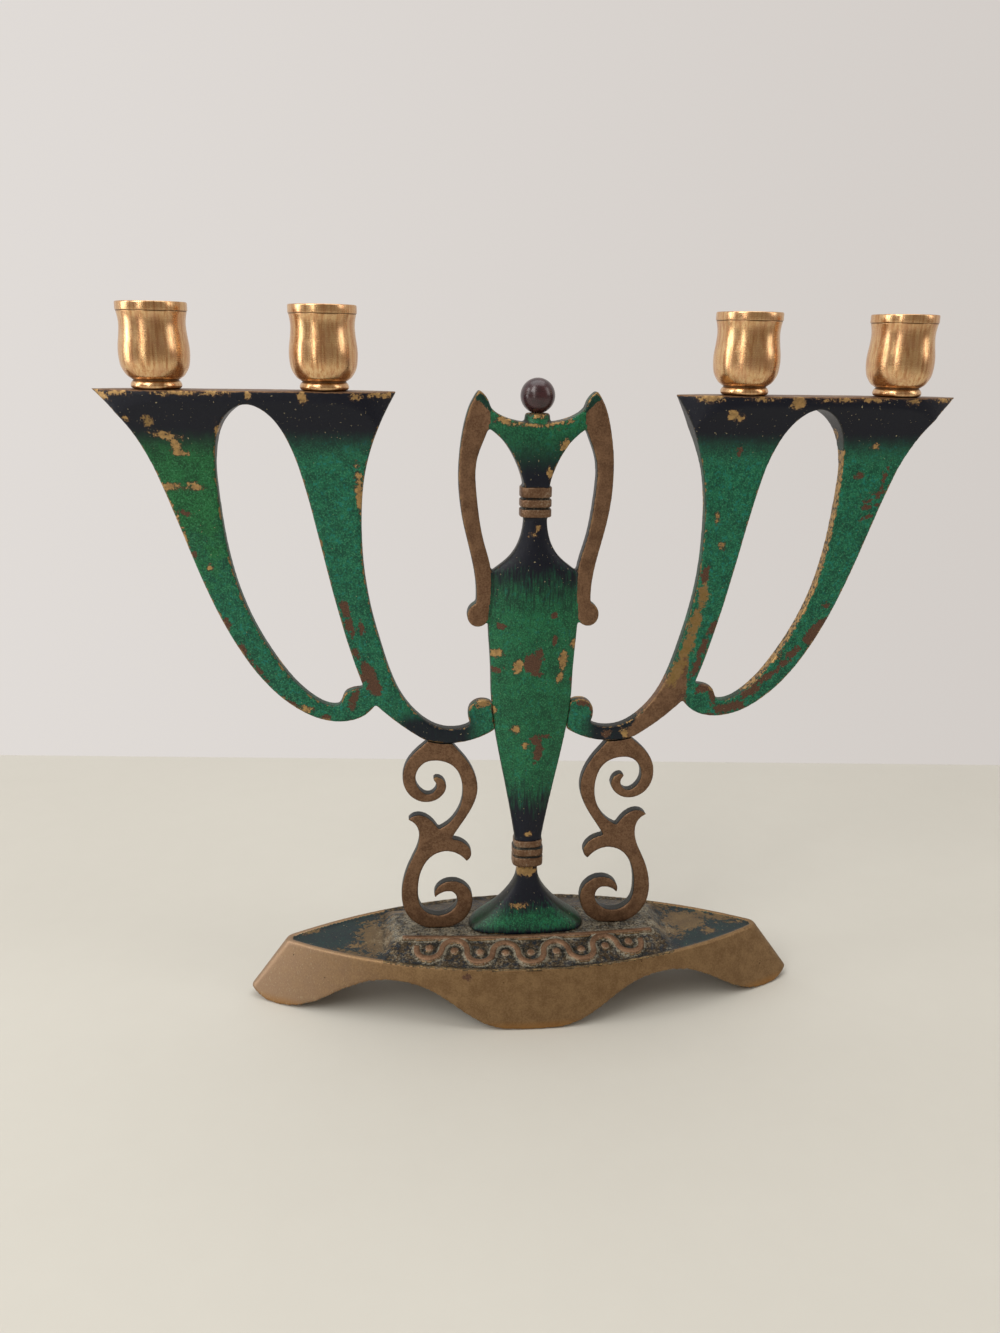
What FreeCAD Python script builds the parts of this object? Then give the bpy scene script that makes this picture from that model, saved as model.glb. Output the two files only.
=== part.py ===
import FreeCAD
import Part
import math
import os

# Four-light cast brass candelabrum with a vase-shaped centre post.
# Millimetres, +Z up, +X to the viewer's right, the front faces -Y.
# Origin: middle of the footprint, on the table.

V = FreeCAD.Vector
UP = V(0, 0, 1)

# ---- base: hollow casting with a lens-shaped top and four feet ----
BASE_TOP_Z = 23.5
TOP_ARC_R = 168.0
TOP_HALF_DEPTH = 28.3
TOP_TIP_R = 3.5
FLOOR_ARC_R = 210.0
FLOOR_HALF_DEPTH = 31.0
FLOOR_TIP_R = 2.5
BASE_WALL = 3.0
HOLLOW_TOP_Z = 20.2
RIM_WIDTH = 1.3
RECESS_DEPTH = 0.8
PAD_TOP_Z = 26.4
PAD_FLOOR_HALF_LENGTH = 54.0
PAD_TOP_HALF_LENGTH = 49.5
PAD_TOP_HALF_DEPTH = 12.0
PAD_TOP_END_DEPTH = 9.5
ARCH_EDGE = ((4.5, 0.0), (10.0, 0.35), (15.5, 1.5), (21.0, 4.0), (28.5, 8.9), (37.0, 14.0), (49.0, 16.5),
             (60.0, 14.8), (75.0, 6.8), (84.0, 2.1), (89.5, 0.5), (93.0, 0.0))
TOE_EDGE = ((95.5, 0.0), (99.5, 0.6), (103.2, 2.5), (106.0, 5.6), (107.8, 9.8))

# ---- raised running ornament on the front slope of the base ----
RELIEF = 1.0
WAVE_R = 4.7
WAVE_WIDTH = 2.1
WAVE_LOOPS = 9
WAVE_LINE_DEPTH = 19.3
BEAD_R = 1.5
BAR_WIDTH = 2.0
BAR_OVERHANG = 0.4
BAR_HALF_LENGTH = 47.5

# ---- vase-shaped centre post ----
# foot stations: height, half width, half depth of a softened oval
FOOT_STATIONS = ((PAD_TOP_Z, 21.8, 9.2), (28.6, 21.0, 8.7), (32.2, 16.8, 7.1), (36.0, 12.0, 5.8),
                 (40.0, 8.2, 4.9), (44.5, 5.3, 4.2), (48.5, 4.1, 3.9), (52.5, 3.9, 3.8))
FOOT_ROUNDING = 3.2
FOOT_POINTS = 20
# body stations: height, half width, half depth on the centre line, half thickness at the edge
BODY_STATIONS = ((62.0, 4.9, 4.0, 1.7), (78.0, 7.7, 4.3, 1.8), (93.0, 10.7, 4.5, 1.9),
                 (106.0, 13.1, 4.7, 1.9), (120.0, 14.6, 4.8, 1.9), (134.0, 15.2, 4.9, 1.9),
                 (146.0, 16.0, 4.9, 1.9), (156.0, 15.8, 4.8, 1.9), (164.0, 14.9, 4.6, 1.8))
SHOULDER_STATIONS = ((164.0, 14.9, 4.6, 1.8), (166.5, 11.6, 4.5, 1.8), (169.6, 8.3, 4.3, 1.8),
                     (174.5, 5.5, 4.0, 1.8), (179.0, 4.4, 3.8, 1.8), (184.0, 4.1, 3.7, 1.8))
LOWER_COLLAR_BANDS = ((52.3, 55.8, 5.7), (56.5, 59.4, 5.7), (59.9, 62.4, 5.3))
UPPER_COLLAR_BANDS = ((183.0, 185.7, 5.4), (186.4, 189.0, 5.4), (189.7, 193.2, 5.4))
COLLAR_CORE_INSET = 0.8
COLLAR_DEPTH_RATIO = 0.84
BOWL_HALF_DEPTH = 4.6
BOWL_EDGE_DEPTH = 2.0
BOWL_LENS_HALF_WIDTH = 22.0
HANDLE_HALF_DEPTH = 2.8
BOSS_R = 4.4
BOSS_BOTTOM_Z = 211.0
BALL_SEAT_Z = 217.6

# ---- horn-shaped arm pairs ----
PLATE_TOP_Z = 224.0
ARM_HALF_DEPTH = 2.4
PLATE_HALF_DEPTH = 7.8
FLARE_START_Z = 200.0
FLARE_FULL_Z = 220.5
PLATE_TIP_IN = 46.7
PLATE_TIP_OUT = 144.4
PLATE_TIP_HALF_DEPTH = 0.8
CUP_INNER_X = 70.1
CUP_OUTER_X = 123.5

# ---- scroll brackets ----
SCROLL_HALF_DEPTH = 2.3
SCROLL_SCREW_X = 33.4

# ---- turned candle cups and their studs ----
CUP_HEIGHT = 26.6
CUP_RIM_R = 11.0
CUP_SEAT_R = 6.9
CUP_RIM_BAND = 2.8
CUP_RIM_STEP = 0.2
SOCKET_R = 9.0
SOCKET_DEPTH = 18.0
STUD_R = 2.5
THREAD_CLEARANCE = 0.05
STUD_IN_HORN = 7.5
STUD_IN_CUP = 5.6
HOLE_SPARE = 0.5

# ---- ball finial and its stud ----
BALL_R = 5.8
BALL_CENTRE_Z = 223.1
BALL_STUD_R = 1.5
BALL_STUD_UP = 5.0
BALL_STUD_DOWN = 6.0

# ---- screws and washers under the base ----
FOOT_SCREW = {"r": 2.0, "head_r": 3.75, "head_h": 2.6, "grip": 9.0, "washer_r": 4.5, "washer_t": 0.8}
SCROLL_SCREW = {"r": 1.25, "head_r": 2.5, "head_h": 1.8, "grip": 3.6, "washer_r": 3.25, "washer_t": 0.5}
BASE_HOLE_CLEARANCE = 0.25


def front(x, z):
    return V(x, 0, z)


def curve(points):
    # one smooth edge in the front plane through the given x, z points
    spline = Part.BSplineCurve()
    spline.interpolate([front(x, z) for x, z in points])
    return spline.toShape()


def straight(a, b):
    return Part.makeLine(front(*a), front(*b))


def slab(edges, half_depth):
    # closed front outline thickened equally to the front and the back
    face = Part.Face(Part.Wire(edges))
    face.translate(V(0, -half_depth, 0))
    return face.extrude(V(0, 2 * half_depth, 0))


def rod(r, z0, z1, x=0.0):
    return Part.makeCylinder(r, z1 - z0, V(x, 0, z0), UP)


def arc_through(a, b, c):
    return Part.Arc(a, b, c).toShape()


def turned(points, x=0.0):
    # solid of revolution about a vertical axis from a closed r, z outline
    corners = [front(r, z) for r, z in points]
    corners.append(corners[0])
    solid = Part.Face(Part.makePolygon(corners)).revolve(V(0, 0, 0), UP, 360)
    solid.translate(V(x, 0, 0))
    return solid


def mirrored(shape):
    return shape.mirror(V(0, 0, 0), V(1, 0, 0))


def clean(shape):
    return shape.removeSplitter()


def lens_wire(arc_r, half_depth, tip_r, z, inset=0.0):
    # pointed oval: two long arcs joined by small tip arcs, all tangent
    centre = arc_r - half_depth
    r = arc_r - inset
    tip = max(tip_r - inset, 0.6)
    tip_x = math.sqrt((r - tip) ** 2 - centre ** 2)
    reach = r / (r - tip)
    join_x = tip_x * reach
    join_y = centre - centre * reach
    front_arc = arc_through(V(-join_x, join_y, z), V(0, centre - r, z), V(join_x, join_y, z))
    right_tip = arc_through(V(join_x, join_y, z), V(tip_x + tip, 0, z), V(join_x, -join_y, z))
    back_arc = arc_through(V(join_x, -join_y, z), V(0, r - centre, z), V(-join_x, -join_y, z))
    left_tip = arc_through(V(-join_x, -join_y, z), V(-tip_x - tip, 0, z), V(-join_x, join_y, z))
    return Part.Wire([front_arc, right_tip, back_arc, left_tip])


def band_wire(half_length, mid_depth, end_depth, z):
    # oblong with bowed front and back and straight ends
    front_arc = arc_through(V(-half_length, -end_depth, z), V(0, -mid_depth, z), V(half_length, -end_depth, z))
    right = Part.makeLine(V(half_length, -end_depth, z), V(half_length, end_depth, z))
    back_arc = arc_through(V(half_length, end_depth, z), V(0, mid_depth, z), V(-half_length, end_depth, z))
    left = Part.makeLine(V(-half_length, end_depth, z), V(-half_length, -end_depth, z))
    return Part.Wire([front_arc, right, back_arc, left])


def foot_section(station):
    # superellipse, between an oval and an oblong
    z, half_width, half_depth = station
    points = []
    for i in range(FOOT_POINTS):
        angle = 2 * math.pi * (i + 0.5) / FOOT_POINTS
        along = math.cos(angle)
        across = math.sin(angle)
        points.append(V(math.copysign(abs(along) ** (2 / FOOT_ROUNDING), along) * half_width,
                        math.copysign(abs(across) ** (2 / FOOT_ROUNDING), across) * half_depth, z))
    spline = Part.BSplineCurve()
    spline.interpolate(points, PeriodicFlag=True)
    return Part.Wire(spline.toShape())


def post_section(station):
    z, half_width, half_depth, edge = station
    return band_wire(half_width, half_depth, edge, z)


def pad(lift):
    centre = TOP_ARC_R - TOP_HALF_DEPTH
    r = TOP_ARC_R - RIM_WIDTH - 0.4
    end_depth = math.sqrt(r ** 2 - PAD_FLOOR_HALF_LENGTH ** 2) - centre
    low = band_wire(PAD_FLOOR_HALF_LENGTH, r - centre, end_depth, BASE_TOP_Z - RECESS_DEPTH + lift)
    high = band_wire(PAD_TOP_HALF_LENGTH, PAD_TOP_HALF_DEPTH, PAD_TOP_END_DEPTH, PAD_TOP_Z + lift)
    slope = Part.makeLoft([low, high], True, True)
    under = Part.Face(low).extrude(V(0, 0, -RECESS_DEPTH - lift))
    return slope.fuse(under)


def running_ornament():
    # half rings alternately turned to the back and the front, a bead in each, under a plain bar
    centre_y = TOP_ARC_R - TOP_HALF_DEPTH
    line_r = centre_y + WAVE_LINE_DEPTH
    low = HOLLOW_TOP_Z
    tall = PAD_TOP_Z + 2 * RELIEF - low
    step = math.degrees(2 * WAVE_R / line_r)
    pieces = []
    for i in range(WAVE_LOOPS):
        angle = (i - (WAVE_LOOPS - 1) / 2) * step
        at = V(0, -WAVE_LINE_DEPTH, low)
        ring = Part.makeCylinder(WAVE_R + WAVE_WIDTH / 2, tall, at, UP)
        ring = ring.cut(Part.makeCylinder(WAVE_R - WAVE_WIDTH / 2, tall, at, UP))
        side = -WAVE_LINE_DEPTH if i % 2 else -WAVE_LINE_DEPTH - 2 * WAVE_R
        keep = Part.makeBox(4 * WAVE_R, 2 * WAVE_R, tall, V(-2 * WAVE_R, side, low))
        loop = ring.common(keep)
        bead = Part.makeCylinder(BEAD_R, tall, at, UP)
        for piece in (loop, bead):
            piece.rotate(V(0, centre_y, 0), UP, angle)
            pieces.append(piece)
    mid = PAD_TOP_HALF_DEPTH + BAR_OVERHANG
    end = PAD_TOP_END_DEPTH + BAR_OVERHANG
    bar = Part.Face(band_wire(BAR_HALF_LENGTH, mid, end, low))
    bar = bar.cut(Part.Face(band_wire(BAR_HALF_LENGTH + 1, mid - BAR_WIDTH, end - BAR_WIDTH, low)))
    bar = bar.extrude(V(0, 0, tall))
    bar = bar.cut(Part.makeBox(4 * BAR_HALF_LENGTH, 60, tall, V(-2 * BAR_HALF_LENGTH, 0, low)))
    pieces.append(bar)
    return pieces[0].multiFuse(pieces[1:]).common(pad(RELIEF))


def cutter(edge_points, floor_z):
    # everything under a smooth edge, right through the skirt from front to back
    first = edge_points[0]
    last = edge_points[-1]
    edges = [curve(edge_points)]
    edges.append(straight(last, (last[0] + 4, floor_z)))
    edges.append(straight((last[0] + 4, floor_z), (first[0], floor_z)))
    edges.append(straight((first[0], floor_z), first))
    return slab(edges, FLOOR_HALF_DEPTH + 5)


def make_base():
    outer = Part.makeLoft([lens_wire(FLOOR_ARC_R, FLOOR_HALF_DEPTH, FLOOR_TIP_R, 0),
                           lens_wire(TOP_ARC_R, TOP_HALF_DEPTH, TOP_TIP_R, BASE_TOP_Z)], True, True)
    ratio = HOLLOW_TOP_Z / BASE_TOP_Z
    mid_r = FLOOR_ARC_R + (TOP_ARC_R - FLOOR_ARC_R) * ratio
    mid_depth = FLOOR_HALF_DEPTH + (TOP_HALF_DEPTH - FLOOR_HALF_DEPTH) * ratio
    hollow = Part.makeLoft([lens_wire(FLOOR_ARC_R, FLOOR_HALF_DEPTH, FLOOR_TIP_R, 0, BASE_WALL),
                            lens_wire(mid_r, mid_depth, TOP_TIP_R, HOLLOW_TOP_Z, BASE_WALL)], True, True)
    recess_wire = lens_wire(TOP_ARC_R, TOP_HALF_DEPTH, TOP_TIP_R, BASE_TOP_Z - RECESS_DEPTH, RIM_WIDTH)
    recess = Part.Face(recess_wire).extrude(V(0, 0, 3))
    body = outer.cut(hollow)
    body = body.cut(recess)
    for edge_points in (ARCH_EDGE, TOE_EDGE):
        body = body.cut(cutter(edge_points, -2))
        body = body.cut(mirrored(cutter(edge_points, -2)))
    body = body.fuse(pad(0))
    body = body.fuse(running_ornament())
    for x, screw in screw_places():
        body = body.cut(rod(screw["r"] + BASE_HOLE_CLEARANCE, HOLLOW_TOP_Z - 1, PAD_TOP_Z + 1, x))
    return clean(body)


def screw_places():
    return ((0.0, FOOT_SCREW), (-SCROLL_SCREW_X, SCROLL_SCREW), (SCROLL_SCREW_X, SCROLL_SCREW))


def collar(bands):
    # stacked oval bands with narrow dark grooves between them
    pieces = []
    for z0, z1, half_width in bands:
        pieces.append(oval(half_width, z0, z1))
    pieces.append(oval(bands[0][2] - COLLAR_CORE_INSET, bands[0][0], bands[-1][1]))
    return pieces[0].multiFuse(pieces[1:])


def oval(half_width, z0, z1):
    depth = half_width * COLLAR_DEPTH_RATIO
    wire = band_wire(half_width, depth, depth * 0.62, z0)
    return Part.Face(wire).extrude(V(0, 0, z1 - z0))


def make_bowl():
    under = ((4.3, 193.0), (4.7, 195.0), (6.2, 199.5), (9.0, 205.0), (12.3, 209.2), (16.6, 212.6),
             (21.0, 215.5))
    lip = ((19.2, 224.0), (17.3, 221.3), (15.0, 218.6), (11.5, 216.4), (6.5, 214.9), (0.0, 214.3))
    edges = [curve(under), straight(under[-1], lip[0]), curve(lip + tuple((-x, z) for x, z in lip[-2::-1]))]
    edges.append(straight((-lip[0][0], lip[0][1]), (-under[-1][0], under[-1][1])))
    edges.append(curve([(-x, z) for x, z in under[::-1]]))
    edges.append(straight((-under[0][0], under[0][1]), under[0]))
    block = slab(edges, BOWL_HALF_DEPTH)
    lens = Part.Face(band_wire(BOWL_LENS_HALF_WIDTH, BOWL_HALF_DEPTH, BOWL_EDGE_DEPTH, 190.0))
    return block.common(lens.extrude(V(0, 0, 40)))


def make_handle():
    tip = (19.7, 225.0)
    outer = (tip, (22.5, 220.5), (24.8, 213.0), (26.5, 197.0), (24.7, 180.5), (20.9, 164.0), (20.2, 152.8))
    knob = (outer[-1], (22.6, 151.0), (23.2, 147.6), (20.9, 144.6), (17.6, 144.8), (16.0, 147.6))
    inner = (knob[-1], (15.3, 156.0), (15.1, 165.0), (17.3, 173.5), (20.1, 190.0), (19.9, 203.0), (16.4, 212.5),
             (15.8, 219.6), tip)
    return slab([curve(outer), curve(knob), curve(inner)], HANDLE_HALF_DEPTH)


def make_vase():
    foot = Part.makeLoft([foot_section(s) for s in FOOT_STATIONS], True, False)
    body = Part.makeLoft([post_section(s) for s in BODY_STATIONS], True, False)
    shoulder = Part.makeLoft([post_section(s) for s in SHOULDER_STATIONS], True, False)
    handle = make_handle()
    boss = rod(BOSS_R, BOSS_BOTTOM_Z, BALL_SEAT_Z)
    boss = boss.makeFillet(1.0, [e for e in boss.Edges if abs(e.BoundBox.ZMin - BALL_SEAT_Z) < 0.01])
    vase = foot.multiFuse([collar(LOWER_COLLAR_BANDS), body, shoulder, collar(UPPER_COLLAR_BANDS), make_bowl(),
                           handle, mirrored(handle), boss])
    grip = FOOT_SCREW["grip"] + HOLE_SPARE
    vase = vase.cut(rod(FOOT_SCREW["r"] + THREAD_CLEARANCE, PAD_TOP_Z - 1, PAD_TOP_Z + grip))
    stud_hole = rod(BALL_STUD_R + THREAD_CLEARANCE, BALL_SEAT_Z - BALL_STUD_DOWN - HOLE_SPARE, BALL_SEAT_Z + 1)
    return clean(vase.cut(stud_hole))


def arm_outline():
    plate_in = (PLATE_TIP_IN, PLATE_TOP_Z)
    plate_out = (PLATE_TIP_OUT, PLATE_TOP_Z)
    elbow = (55.5, 115.9)
    scroll_corner = (38.8, 102.6)
    outer = (plate_out, (133.0, 212.4), (125.4, 197.0), (112.8, 161.0), (100.0, 133.7), (85.5, 116.8),
             (70.0, 109.9), (61.0, 111.2), elbow)
    lower = (elbow, (47.5, 108.7), scroll_corner)
    root = (scroll_corner, (32.0, 101.0), (24.5, 101.3), (17.5, 103.4), (12.1, 106.5))
    curl = ((12.1, 114.4), (14.8, 116.7), (18.5, 117.3), (22.0, 115.2), (22.8, 111.5), (21.8, 108.2))
    inner = (curl[-1], (27.2, 106.6), (33.4, 107.5), (39.6, 111.4), (46.1, 119.3), (52.1, 134.7), (57.4, 157.0),
             (59.0, 179.3), (57.2, 198.5), (52.0, 214.0), plate_in)
    return [straight(plate_in, plate_out), curve(outer), curve(lower), curve(root), straight(root[-1], curl[0]),
            curve(curl), curve(inner)]


def slot_outline():
    crook = (59.7, 122.5)
    notch = (68.6, 116.1)
    around = (crook, (65.6, 141.5), (71.6, 166.5), (76.7, 189.2), (82.2, 207.0), (88.0, 216.2), (94.8, 219.6),
              (101.8, 215.8), (105.7, 205.5), (105.7, 189.5), (100.1, 156.5), (88.9, 132.9), (77.5, 119.5),
              (71.5, 116.3), notch)
    curl = (notch, (67.4, 118.1), (66.4, 120.4), (63.6, 122.0), crook)
    return [curve(around), curve(curl)]


def plate_side():
    # side view of the top: flat horns flaring to the full plate depth
    face = []
    for side in (-1, 1):
        face.append(arc_through(V(0, side * ARM_HALF_DEPTH, FLARE_START_Z), V(0, side * 4.6, 211.5),
                                V(0, side * PLATE_HALF_DEPTH, FLARE_FULL_Z)))
        face.append(Part.makeLine(V(0, side * PLATE_HALF_DEPTH, FLARE_FULL_Z),
                                  V(0, side * PLATE_HALF_DEPTH, PLATE_TOP_Z)))
    top = Part.makeLine(V(0, -PLATE_HALF_DEPTH, PLATE_TOP_Z), V(0, PLATE_HALF_DEPTH, PLATE_TOP_Z))
    bottom = Part.makeLine(V(0, ARM_HALF_DEPTH, FLARE_START_Z), V(0, -ARM_HALF_DEPTH, FLARE_START_Z))
    wire = Part.Wire(Part.__sortEdges__(face + [top, bottom]))
    return Part.Face(wire).extrude(V(PLATE_TIP_OUT + 2, 0, 0))


def plate_plan():
    # top view of the plate: long oval running out to narrow tips
    mid_x = (PLATE_TIP_IN + PLATE_TIP_OUT) / 2
    reach = (PLATE_TIP_OUT - PLATE_TIP_IN) / 2
    edges = []
    for side in (-1, 1):
        rim = [(mid_x - reach, PLATE_TIP_HALF_DEPTH), (mid_x - reach + 9, 6.0), (mid_x - reach + 24, 7.7),
               (mid_x, 7.8), (mid_x + reach - 24, 7.7), (mid_x + reach - 9, 6.0),
               (mid_x + reach, PLATE_TIP_HALF_DEPTH)]
        spline = Part.BSplineCurve()
        spline.interpolate([V(x, side * y, FLARE_START_Z) for x, y in rim])
        edges.append(spline.toShape())
    for x in (mid_x - reach, mid_x + reach):
        edges.append(Part.makeLine(V(x, -PLATE_TIP_HALF_DEPTH, FLARE_START_Z),
                                   V(x, PLATE_TIP_HALF_DEPTH, FLARE_START_Z)))
    wire = Part.Wire(Part.__sortEdges__(edges))
    return Part.Face(wire).extrude(V(0, 0, PLATE_TOP_Z - FLARE_START_Z + 1))


def make_arm_pair(vase):
    thin = slab(arm_outline(), ARM_HALF_DEPTH)
    thin = thin.common(Part.makeBox(PLATE_TIP_OUT, 20, FLARE_START_Z, V(0, -10, 0)))
    deep = slab(arm_outline(), PLATE_HALF_DEPTH + 1)
    deep = deep.common(plate_side())
    deep = deep.common(plate_plan())
    arm = thin.fuse(deep)
    arm = arm.cut(slab(slot_outline(), PLATE_HALF_DEPTH + 2))
    for x in (CUP_INNER_X, CUP_OUTER_X):
        depth = STUD_IN_HORN + HOLE_SPARE
        arm = arm.cut(rod(STUD_R + THREAD_CLEARANCE, PLATE_TOP_Z - depth, PLATE_TOP_Z + 1, x))
    return clean(arm.cut(vase))


def scroll_outline():
    shoulder = (36.5, 102.6)
    upper_tip = (34.3, 88.0)
    upper_tip_in = (34.8, 86.3)
    high_notch = (33.4, 67.3)
    high_leaf = (44.5, 71.2)
    lower_tip = (34.6, 38.8)
    low_leaf = (22.9, 53.7)
    low_notch = (28.6, 62.8)
    top_in = (29.5, 102.6)
    upper_out = (shoulder, (40.9, 98.8), (44.7, 94.3), (46.4, 87.8), (43.6, 80.7), (37.6, 78.0), (32.2, 80.3),
                 (30.4, 84.4), (31.8, 87.1), upper_tip)
    tip_end = (upper_tip, (35.2, 87.3), upper_tip_in)
    upper_in = (upper_tip_in, (34.2, 83.8), (36.6, 81.4), (40.4, 83.7), (41.4, 89.0), (38.2, 93.5),
                (33.0, 94.2), (27.5, 91.5), (24.9, 85.8), (25.2, 77.2), (28.2, 71.3), high_notch)
    leaf = (high_notch, (36.4, 71.3), (40.6, 73.2), high_leaf)
    outside = (high_leaf, (41.3, 68.3), (40.7, 62.6), (44.2, 53.5), (47.2, 42.5), (45.7, 33.0), (40.0, 27.3),
               (33.0, 26.0), (25.4, 28.0), (20.8, 34.5), (21.3, 41.5), (26.3, 45.6), (31.6, 45.2), (34.9, 41.6),
               lower_tip)
    inside = (lower_tip, (32.0, 41.0), (28.0, 41.1), (26.4, 37.5), (29.2, 33.0), (34.8, 31.8), (39.6, 35.0),
              (41.0, 42.0), (39.4, 51.0), (35.2, 56.6), (29.3, 58.0), (25.2, 56.2), low_leaf)
    low_side = (low_leaf, (21.0, 57.2), (23.4, 61.2), low_notch)
    spine = (low_notch, (24.3, 69.8), (20.3, 77.0), (18.9, 83.5), (20.3, 89.6), (23.4, 95.0), (27.2, 99.6),
             top_in)
    parts = (upper_out, tip_end, upper_in, leaf, outside, inside, low_side, spine)
    return [curve(points) for points in parts] + [straight(top_in, shoulder)]


def make_scroll(arm):
    scroll = slab(scroll_outline(), SCROLL_HALF_DEPTH)
    grip = SCROLL_SCREW["grip"] + HOLE_SPARE
    scroll = scroll.cut(Part.makeBox(60, 20, PAD_TOP_Z, V(0, -10, 0)))
    hole_r = SCROLL_SCREW["r"] + THREAD_CLEARANCE
    scroll = scroll.cut(rod(hole_r, PAD_TOP_Z - 1, PAD_TOP_Z + grip, SCROLL_SCREW_X))
    return clean(scroll.cut(arm))


def make_cup(x):
    z0 = PLATE_TOP_Z
    top = z0 + CUP_HEIGHT
    floor = top - SOCKET_DEPTH
    neck = (7.1, z0 + 2.8)
    foot = curve(((CUP_SEAT_R, z0), (7.9, z0 + 0.9), (7.7, z0 + 2.0), neck))
    under_rim = (CUP_RIM_R - CUP_RIM_STEP, top - CUP_RIM_BAND)
    side = curve((neck, (9.1, z0 + 4.4), (10.5, z0 + 6.9), (11.0, z0 + 10.4), (10.9, z0 + 13.4),
                  (10.4, z0 + 17.0), (10.25, z0 + 20.0), under_rim))
    step = straight(under_rim, (CUP_RIM_R, top - CUP_RIM_BAND))
    band = straight((CUP_RIM_R, top - CUP_RIM_BAND), (CUP_RIM_R, top - 0.3))
    edge = straight((CUP_RIM_R, top - 0.3), (CUP_RIM_R - 0.3, top))
    mouth = straight((CUP_RIM_R - 0.3, top), (SOCKET_R + 0.5, top))
    lead = straight((SOCKET_R + 0.5, top), (SOCKET_R, top - 0.5))
    wall = straight((SOCKET_R, top - 0.5), (SOCKET_R, floor))
    bottom = straight((SOCKET_R, floor), (0, floor))
    hole_top = z0 + STUD_IN_CUP + HOLE_SPARE
    hole_r = STUD_R + THREAD_CLEARANCE
    axis = straight((0, floor), (0, hole_top))
    cap = straight((0, hole_top), (hole_r, hole_top))
    bore = straight((hole_r, hole_top), (hole_r, z0))
    seat = straight((hole_r, z0), (CUP_SEAT_R, z0))
    wire = Part.Wire([foot, side, step, band, edge, mouth, lead, wall, bottom, axis, cap, bore, seat])
    cup = Part.Face(wire).revolve(V(0, 0, 0), UP, 360)
    cup.translate(V(x, 0, 0))
    return cup


def make_stud(r, z0, z1, x=0.0):
    c = r * 0.24
    return turned(((0, z0), (r - c, z0), (r, z0 + c), (r, z1 - c), (r - c, z1), (0, z1)), x)


def make_ball():
    ball = Part.makeSphere(BALL_R, V(0, 0, BALL_CENTRE_Z))
    ball = ball.cut(Part.makeBox(20, 20, 10, V(-10, -10, BALL_SEAT_Z - 10)))
    hole_r = BALL_STUD_R + THREAD_CLEARANCE
    return ball.cut(rod(hole_r, BALL_SEAT_Z - 1, BALL_SEAT_Z + BALL_STUD_UP + HOLE_SPARE))


def make_washer(spec, x):
    z0 = HOLLOW_TOP_Z - spec["washer_t"]
    return rod(spec["washer_r"], z0, HOLLOW_TOP_Z, x).cut(rod(spec["r"] + 0.15, z0 - 1, HOLLOW_TOP_Z + 1, x))


def make_screw(spec, x):
    seat = HOLLOW_TOP_Z - spec["washer_t"]
    low = seat - spec["head_h"]
    end = PAD_TOP_Z + spec["grip"]
    r = spec["r"]
    head_r = spec["head_r"]
    bevel = 0.25 * spec["head_h"]
    outline = ((0, low), (head_r - 2 * bevel, low), (head_r, low + bevel), (head_r, seat), (r, seat),
               (r, end - 0.4), (r - 0.4, end), (0, end))
    slot = Part.makeBox(2 * head_r + 2, 0.9, 0.5 * spec["head_h"], V(x - head_r - 1, -0.45, low))
    return turned(outline, x).cut(slot)


vase = make_vase()
base = make_base()
arm_right = make_arm_pair(vase)
scroll_right = make_scroll(arm_right)

nodes = {
    "base": base,
    "vase": vase,
    "arm_pair_left": mirrored(arm_right),
    "arm_pair_right": arm_right,
    "scroll_left": mirrored(scroll_right),
    "scroll_right": scroll_right,
    "finial_ball": make_ball(),
    "finial_stud": make_stud(BALL_STUD_R, BALL_SEAT_Z - BALL_STUD_DOWN, BALL_SEAT_Z + BALL_STUD_UP),
}
for number, x in enumerate((-CUP_OUTER_X, -CUP_INNER_X, CUP_INNER_X, CUP_OUTER_X), 1):
    nodes["candle_cup_%d" % number] = make_cup(x)
    nodes["cup_stud_%d" % number] = make_stud(STUD_R, PLATE_TOP_Z - STUD_IN_HORN, PLATE_TOP_Z + STUD_IN_CUP, x)
for name, (x, spec) in zip(("foot", "scroll_left", "scroll_right"), screw_places()):
    nodes[name + "_screw"] = make_screw(spec, x)
    nodes[name + "_washer"] = make_washer(spec, x)

os.makedirs("parts", exist_ok=True)
for name, shape in nodes.items():
    shape.exportStep("parts/%s.step" % name)
    box = shape.BoundBox
    print("%-22s valid %s solids %d volume %8.1f  x %.1f..%.1f y %.1f..%.1f z %.1f..%.1f" % (
        name, shape.isValid(), len(shape.Solids), shape.Volume,
        box.XMin, box.XMax, box.YMin, box.YMax, box.ZMin, box.ZMax))
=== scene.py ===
import math

import bmesh
import bpy
import numpy as np
from mathutils import Matrix, Vector, noise


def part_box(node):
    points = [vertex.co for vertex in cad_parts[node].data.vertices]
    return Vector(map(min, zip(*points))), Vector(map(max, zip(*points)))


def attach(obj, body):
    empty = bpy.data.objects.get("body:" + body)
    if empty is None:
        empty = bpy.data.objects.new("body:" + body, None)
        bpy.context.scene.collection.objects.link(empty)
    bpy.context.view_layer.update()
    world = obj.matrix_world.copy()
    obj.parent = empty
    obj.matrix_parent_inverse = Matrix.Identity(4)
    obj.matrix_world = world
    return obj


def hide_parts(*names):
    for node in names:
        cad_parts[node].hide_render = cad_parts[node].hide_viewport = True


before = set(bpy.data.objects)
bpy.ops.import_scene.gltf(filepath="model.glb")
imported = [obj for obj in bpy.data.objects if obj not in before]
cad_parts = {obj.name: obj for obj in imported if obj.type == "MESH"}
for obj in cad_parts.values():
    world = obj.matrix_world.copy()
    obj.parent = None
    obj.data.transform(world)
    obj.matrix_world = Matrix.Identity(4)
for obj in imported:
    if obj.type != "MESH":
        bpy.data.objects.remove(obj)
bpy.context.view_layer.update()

MM = 0.001


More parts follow.
